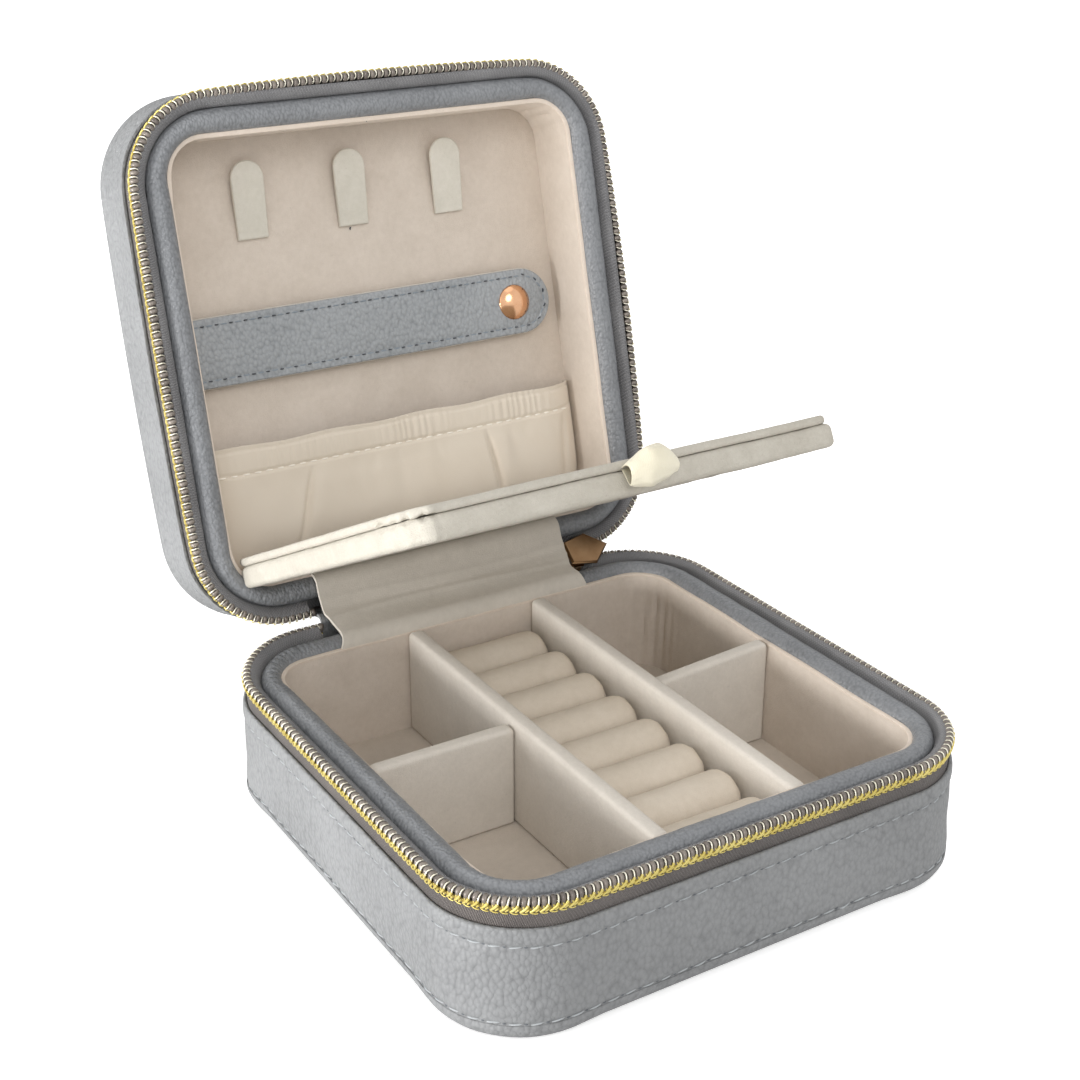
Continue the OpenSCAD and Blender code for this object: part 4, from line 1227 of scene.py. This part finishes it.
def panel_ribbon():
    """Satin ribbon folded over, standing out of the slit at the front."""
    w = 12.0
    loop = [(0.5, 0.15), (-1.2, 1.7), (-3.2, 3.3), (-5.4, 4.0), (-7.2, 3.2), (-8.0, 1.4),
            (-7.9, -0.8), (-6.9, -2.8), (-5.2, -3.9), (-3.4, -3.7), (-1.8, -2.2), (0.5, -0.15)]

    def shape(x, v):
        return x, 0.22 * np.sin(x * 0.45 + v * 9) * clamp(np.sin(pi * v))

    sheet = folded_sheet(resample(loop, 49)[0], 0.45, -w / 2, w / 2, shape, 49, 24)
    co = points(sheet)
    # the loop is crushed: its left end flattens and hangs, its right end stands up
    u = co[:, 0] / w + 0.5
    reach_out = clamp(-co[:, 1] / 8.0)
    crown = np.sin(pi * u)
    co[:, 2] *= 0.55 + 0.66 * crown - 0.02 * u
    co[:, 2] += (1.6 * crown - 3.0 * (1 - u) - 2.6 * u) * reach_out
    co[:, 2] += 0.18 * reach_out * np.sin(u * 17 + co[:, 2] * 0.6)
    co[:, 1] = co[:, 1] * (0.92 + 0.1 * np.sin(u * 3.0))
    co[:, 0] += 1.2 * reach_out * (co[:, 2] / 4.0) - 1.6 * (1 - u) * reach_out
    front = PANEL_MID_Y - PANEL_HALF_D
    set_points(sheet, co + np.array([3.2, front, PANEL_Z + 4.1]))
    finish_piece(sheet, "panel_ribbon_satin", "panel", SATIN, ["panel_ribbon"], 60)
    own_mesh(sheet)


panel_ply("panel_lower_board", -2.5, 6.2, 124.8, 117.0, 0.9, 1)
panel_ply("panel_upper_board", 3.75, 2.3, 123.4, 116.6, 0.3, 2)
panel_ribbon()


# ---------------- the zip slider
def eased(node, name, body, width):
    """A CAD metal part with its sharp edges taken off."""
    start()
    obj = bpy.data.objects.new(name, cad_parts[node].data.copy())
    bpy.context.collection.objects.link(obj)
    obj.data.transform(Matrix.Scale(1000, 4))
    outwards(obj)
    mode("EDIT", "SELECT")
    bpy.ops.mesh.dissolve_limited(angle_limit=radians(2))
    mode("OBJECT")
    apply_modifier(obj, "BEVEL", width=width, segments=3, limit_method="ANGLE",
                   angle_limit=radians(35))
    finish_piece(obj, name, body, BRONZE, [node], 40, place=BASE_PLACE)


eased("slider_body", "slider_plates", "slider", 0.25)
throat = slab([(-6.4, -2.7), (1.2, -3.9), (6.6, 0.0), (1.2, 3.9), (-6.4, 2.7)], -3.6, -0.6, 0.3)
throat.data.transform(Matrix.Translation((47.308, HINGE_Y, BASE_H))
                      @ Matrix.Rotation(-pi / 2, 4, "X"))
finish_piece(throat, "slider_throat", "slider", BRONZE, (), 40)
eased("slider_bail", "slider_loop", "slider", 0.2)
eased("pull_tab", "pull_plate", "pull", 0.3)

# hidden parts keep their shapes
for node, mat in (("base_board", BOARD), ("lid_board", BOARD), ("base_padding", FOAM),
                  ("lid_padding", FOAM), ("snap_socket", SNAP), ("snap_stud", SNAP)):
    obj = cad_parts[node]
    obj.data.materials.clear()
    obj.data.materials.append(mat)


# ---------------- camera, lights and floor
LAMP_TARGET = (0, 0.03, 0.07)
LAMPS = (("Near left light", (-0.7, 0.0, 0.075), 0.22, 4.3),
         ("Front light", (-0.3, -1.3, 1.1), 1.0, 8.0),
         ("Left light", (-1.2, -0.3, 0.75), 0.8, 0.6),
         ("Rear left light", (-1.3, 0.55, 0.2), 0.6, 4.5),
         ("Top light", (0.1, 0.0, 1.6), 1.2, 1.5))
WORLD_LIGHT, FLOOR_LIFT = 0.77, 0.5


def aimed(name, data, place, target, roll=0.0):
    """A camera or lamp at one place, looking at another."""
    obj = bpy.data.objects.new(name, data)
    bpy.context.collection.objects.link(obj)
    obj.location = place
    turn = (Vector(target) - Vector(place)).to_track_quat("-Z", "Y")
    obj.rotation_mode = "QUATERNION"
    obj.rotation_quaternion = turn @ Matrix.Rotation(radians(roll), 4, "Z").to_quaternion()
    return obj


def camera():
    data = bpy.data.cameras.new("Camera")
    data.sensor_width = 36
    data.lens = 59.22
    data.clip_start, data.clip_end = 0.01, 10
    bpy.context.scene.camera = aimed("Camera", data, Vector((-227.2, -343.0, 263.8)) * MM,
                                     Vector((-10.63, 6.585, 82.79)) * MM, 0.10)


def surroundings():
    world = bpy.data.worlds.new("Studio")
    bpy.context.scene.world = world
    world.use_nodes = True
    tree = world.node_tree
    back = tree.nodes["Background"].inputs
    # white to the camera, to reflections and through glass; its own strength to the rest
    path = tree.nodes.new("ShaderNodeLightPath").outputs
    seen = maths(tree, "MAXIMUM", maths(tree, "MAXIMUM", path["Is Camera Ray"],
                                        path["Is Glossy Ray"]), path["Is Transmission Ray"])
    tree.links.new(fitted(tree, seen, 0.0, 1.0, WORLD_LIGHT, 1.0), back["Strength"])
    back["Color"].default_value = (1.0, 1.0, 1.0, 1)
    start()
    bpy.ops.mesh.primitive_plane_add(size=4, location=(0, 0, -0.0002))
    floor = bpy.context.object
    floor.name = "floor"
    made, t, s, where = material("Pale floor", Roughness=0.9, Specular_IOR_Level=0.1)
    dyed(t, s, clouds(t, where["Object"], 3.0, 2.0), "F2F2F1", "F8F8F8")
    # lit floor stays white to the camera and darkens only in the object's shadow
    path = t.nodes.new("ShaderNodeLightPath").outputs
    s["Emission Color"].default_value = (1, 1, 1, 1)
    far = put(t, "ShaderNodeVectorMath", {0: where["Object"]}, operation="LENGTH").outputs
    lift = fitted(t, far["Value"], 0.22, 0.6, FLOOR_LIFT, 1.0)
    t.links.new(maths(t, "MULTIPLY", path["Is Camera Ray"], lift), s["Emission Strength"])
    floor.data.materials.append(made)
    for name, place, size, power in LAMPS:
        data = bpy.data.lights.new(name, "AREA")
        data.shape = "DISK"
        data.size, data.energy = size, power
        aimed(name, data, place, LAMP_TARGET)


camera()
surroundings()
bpy.context.scene.view_settings.view_transform = "Standard"
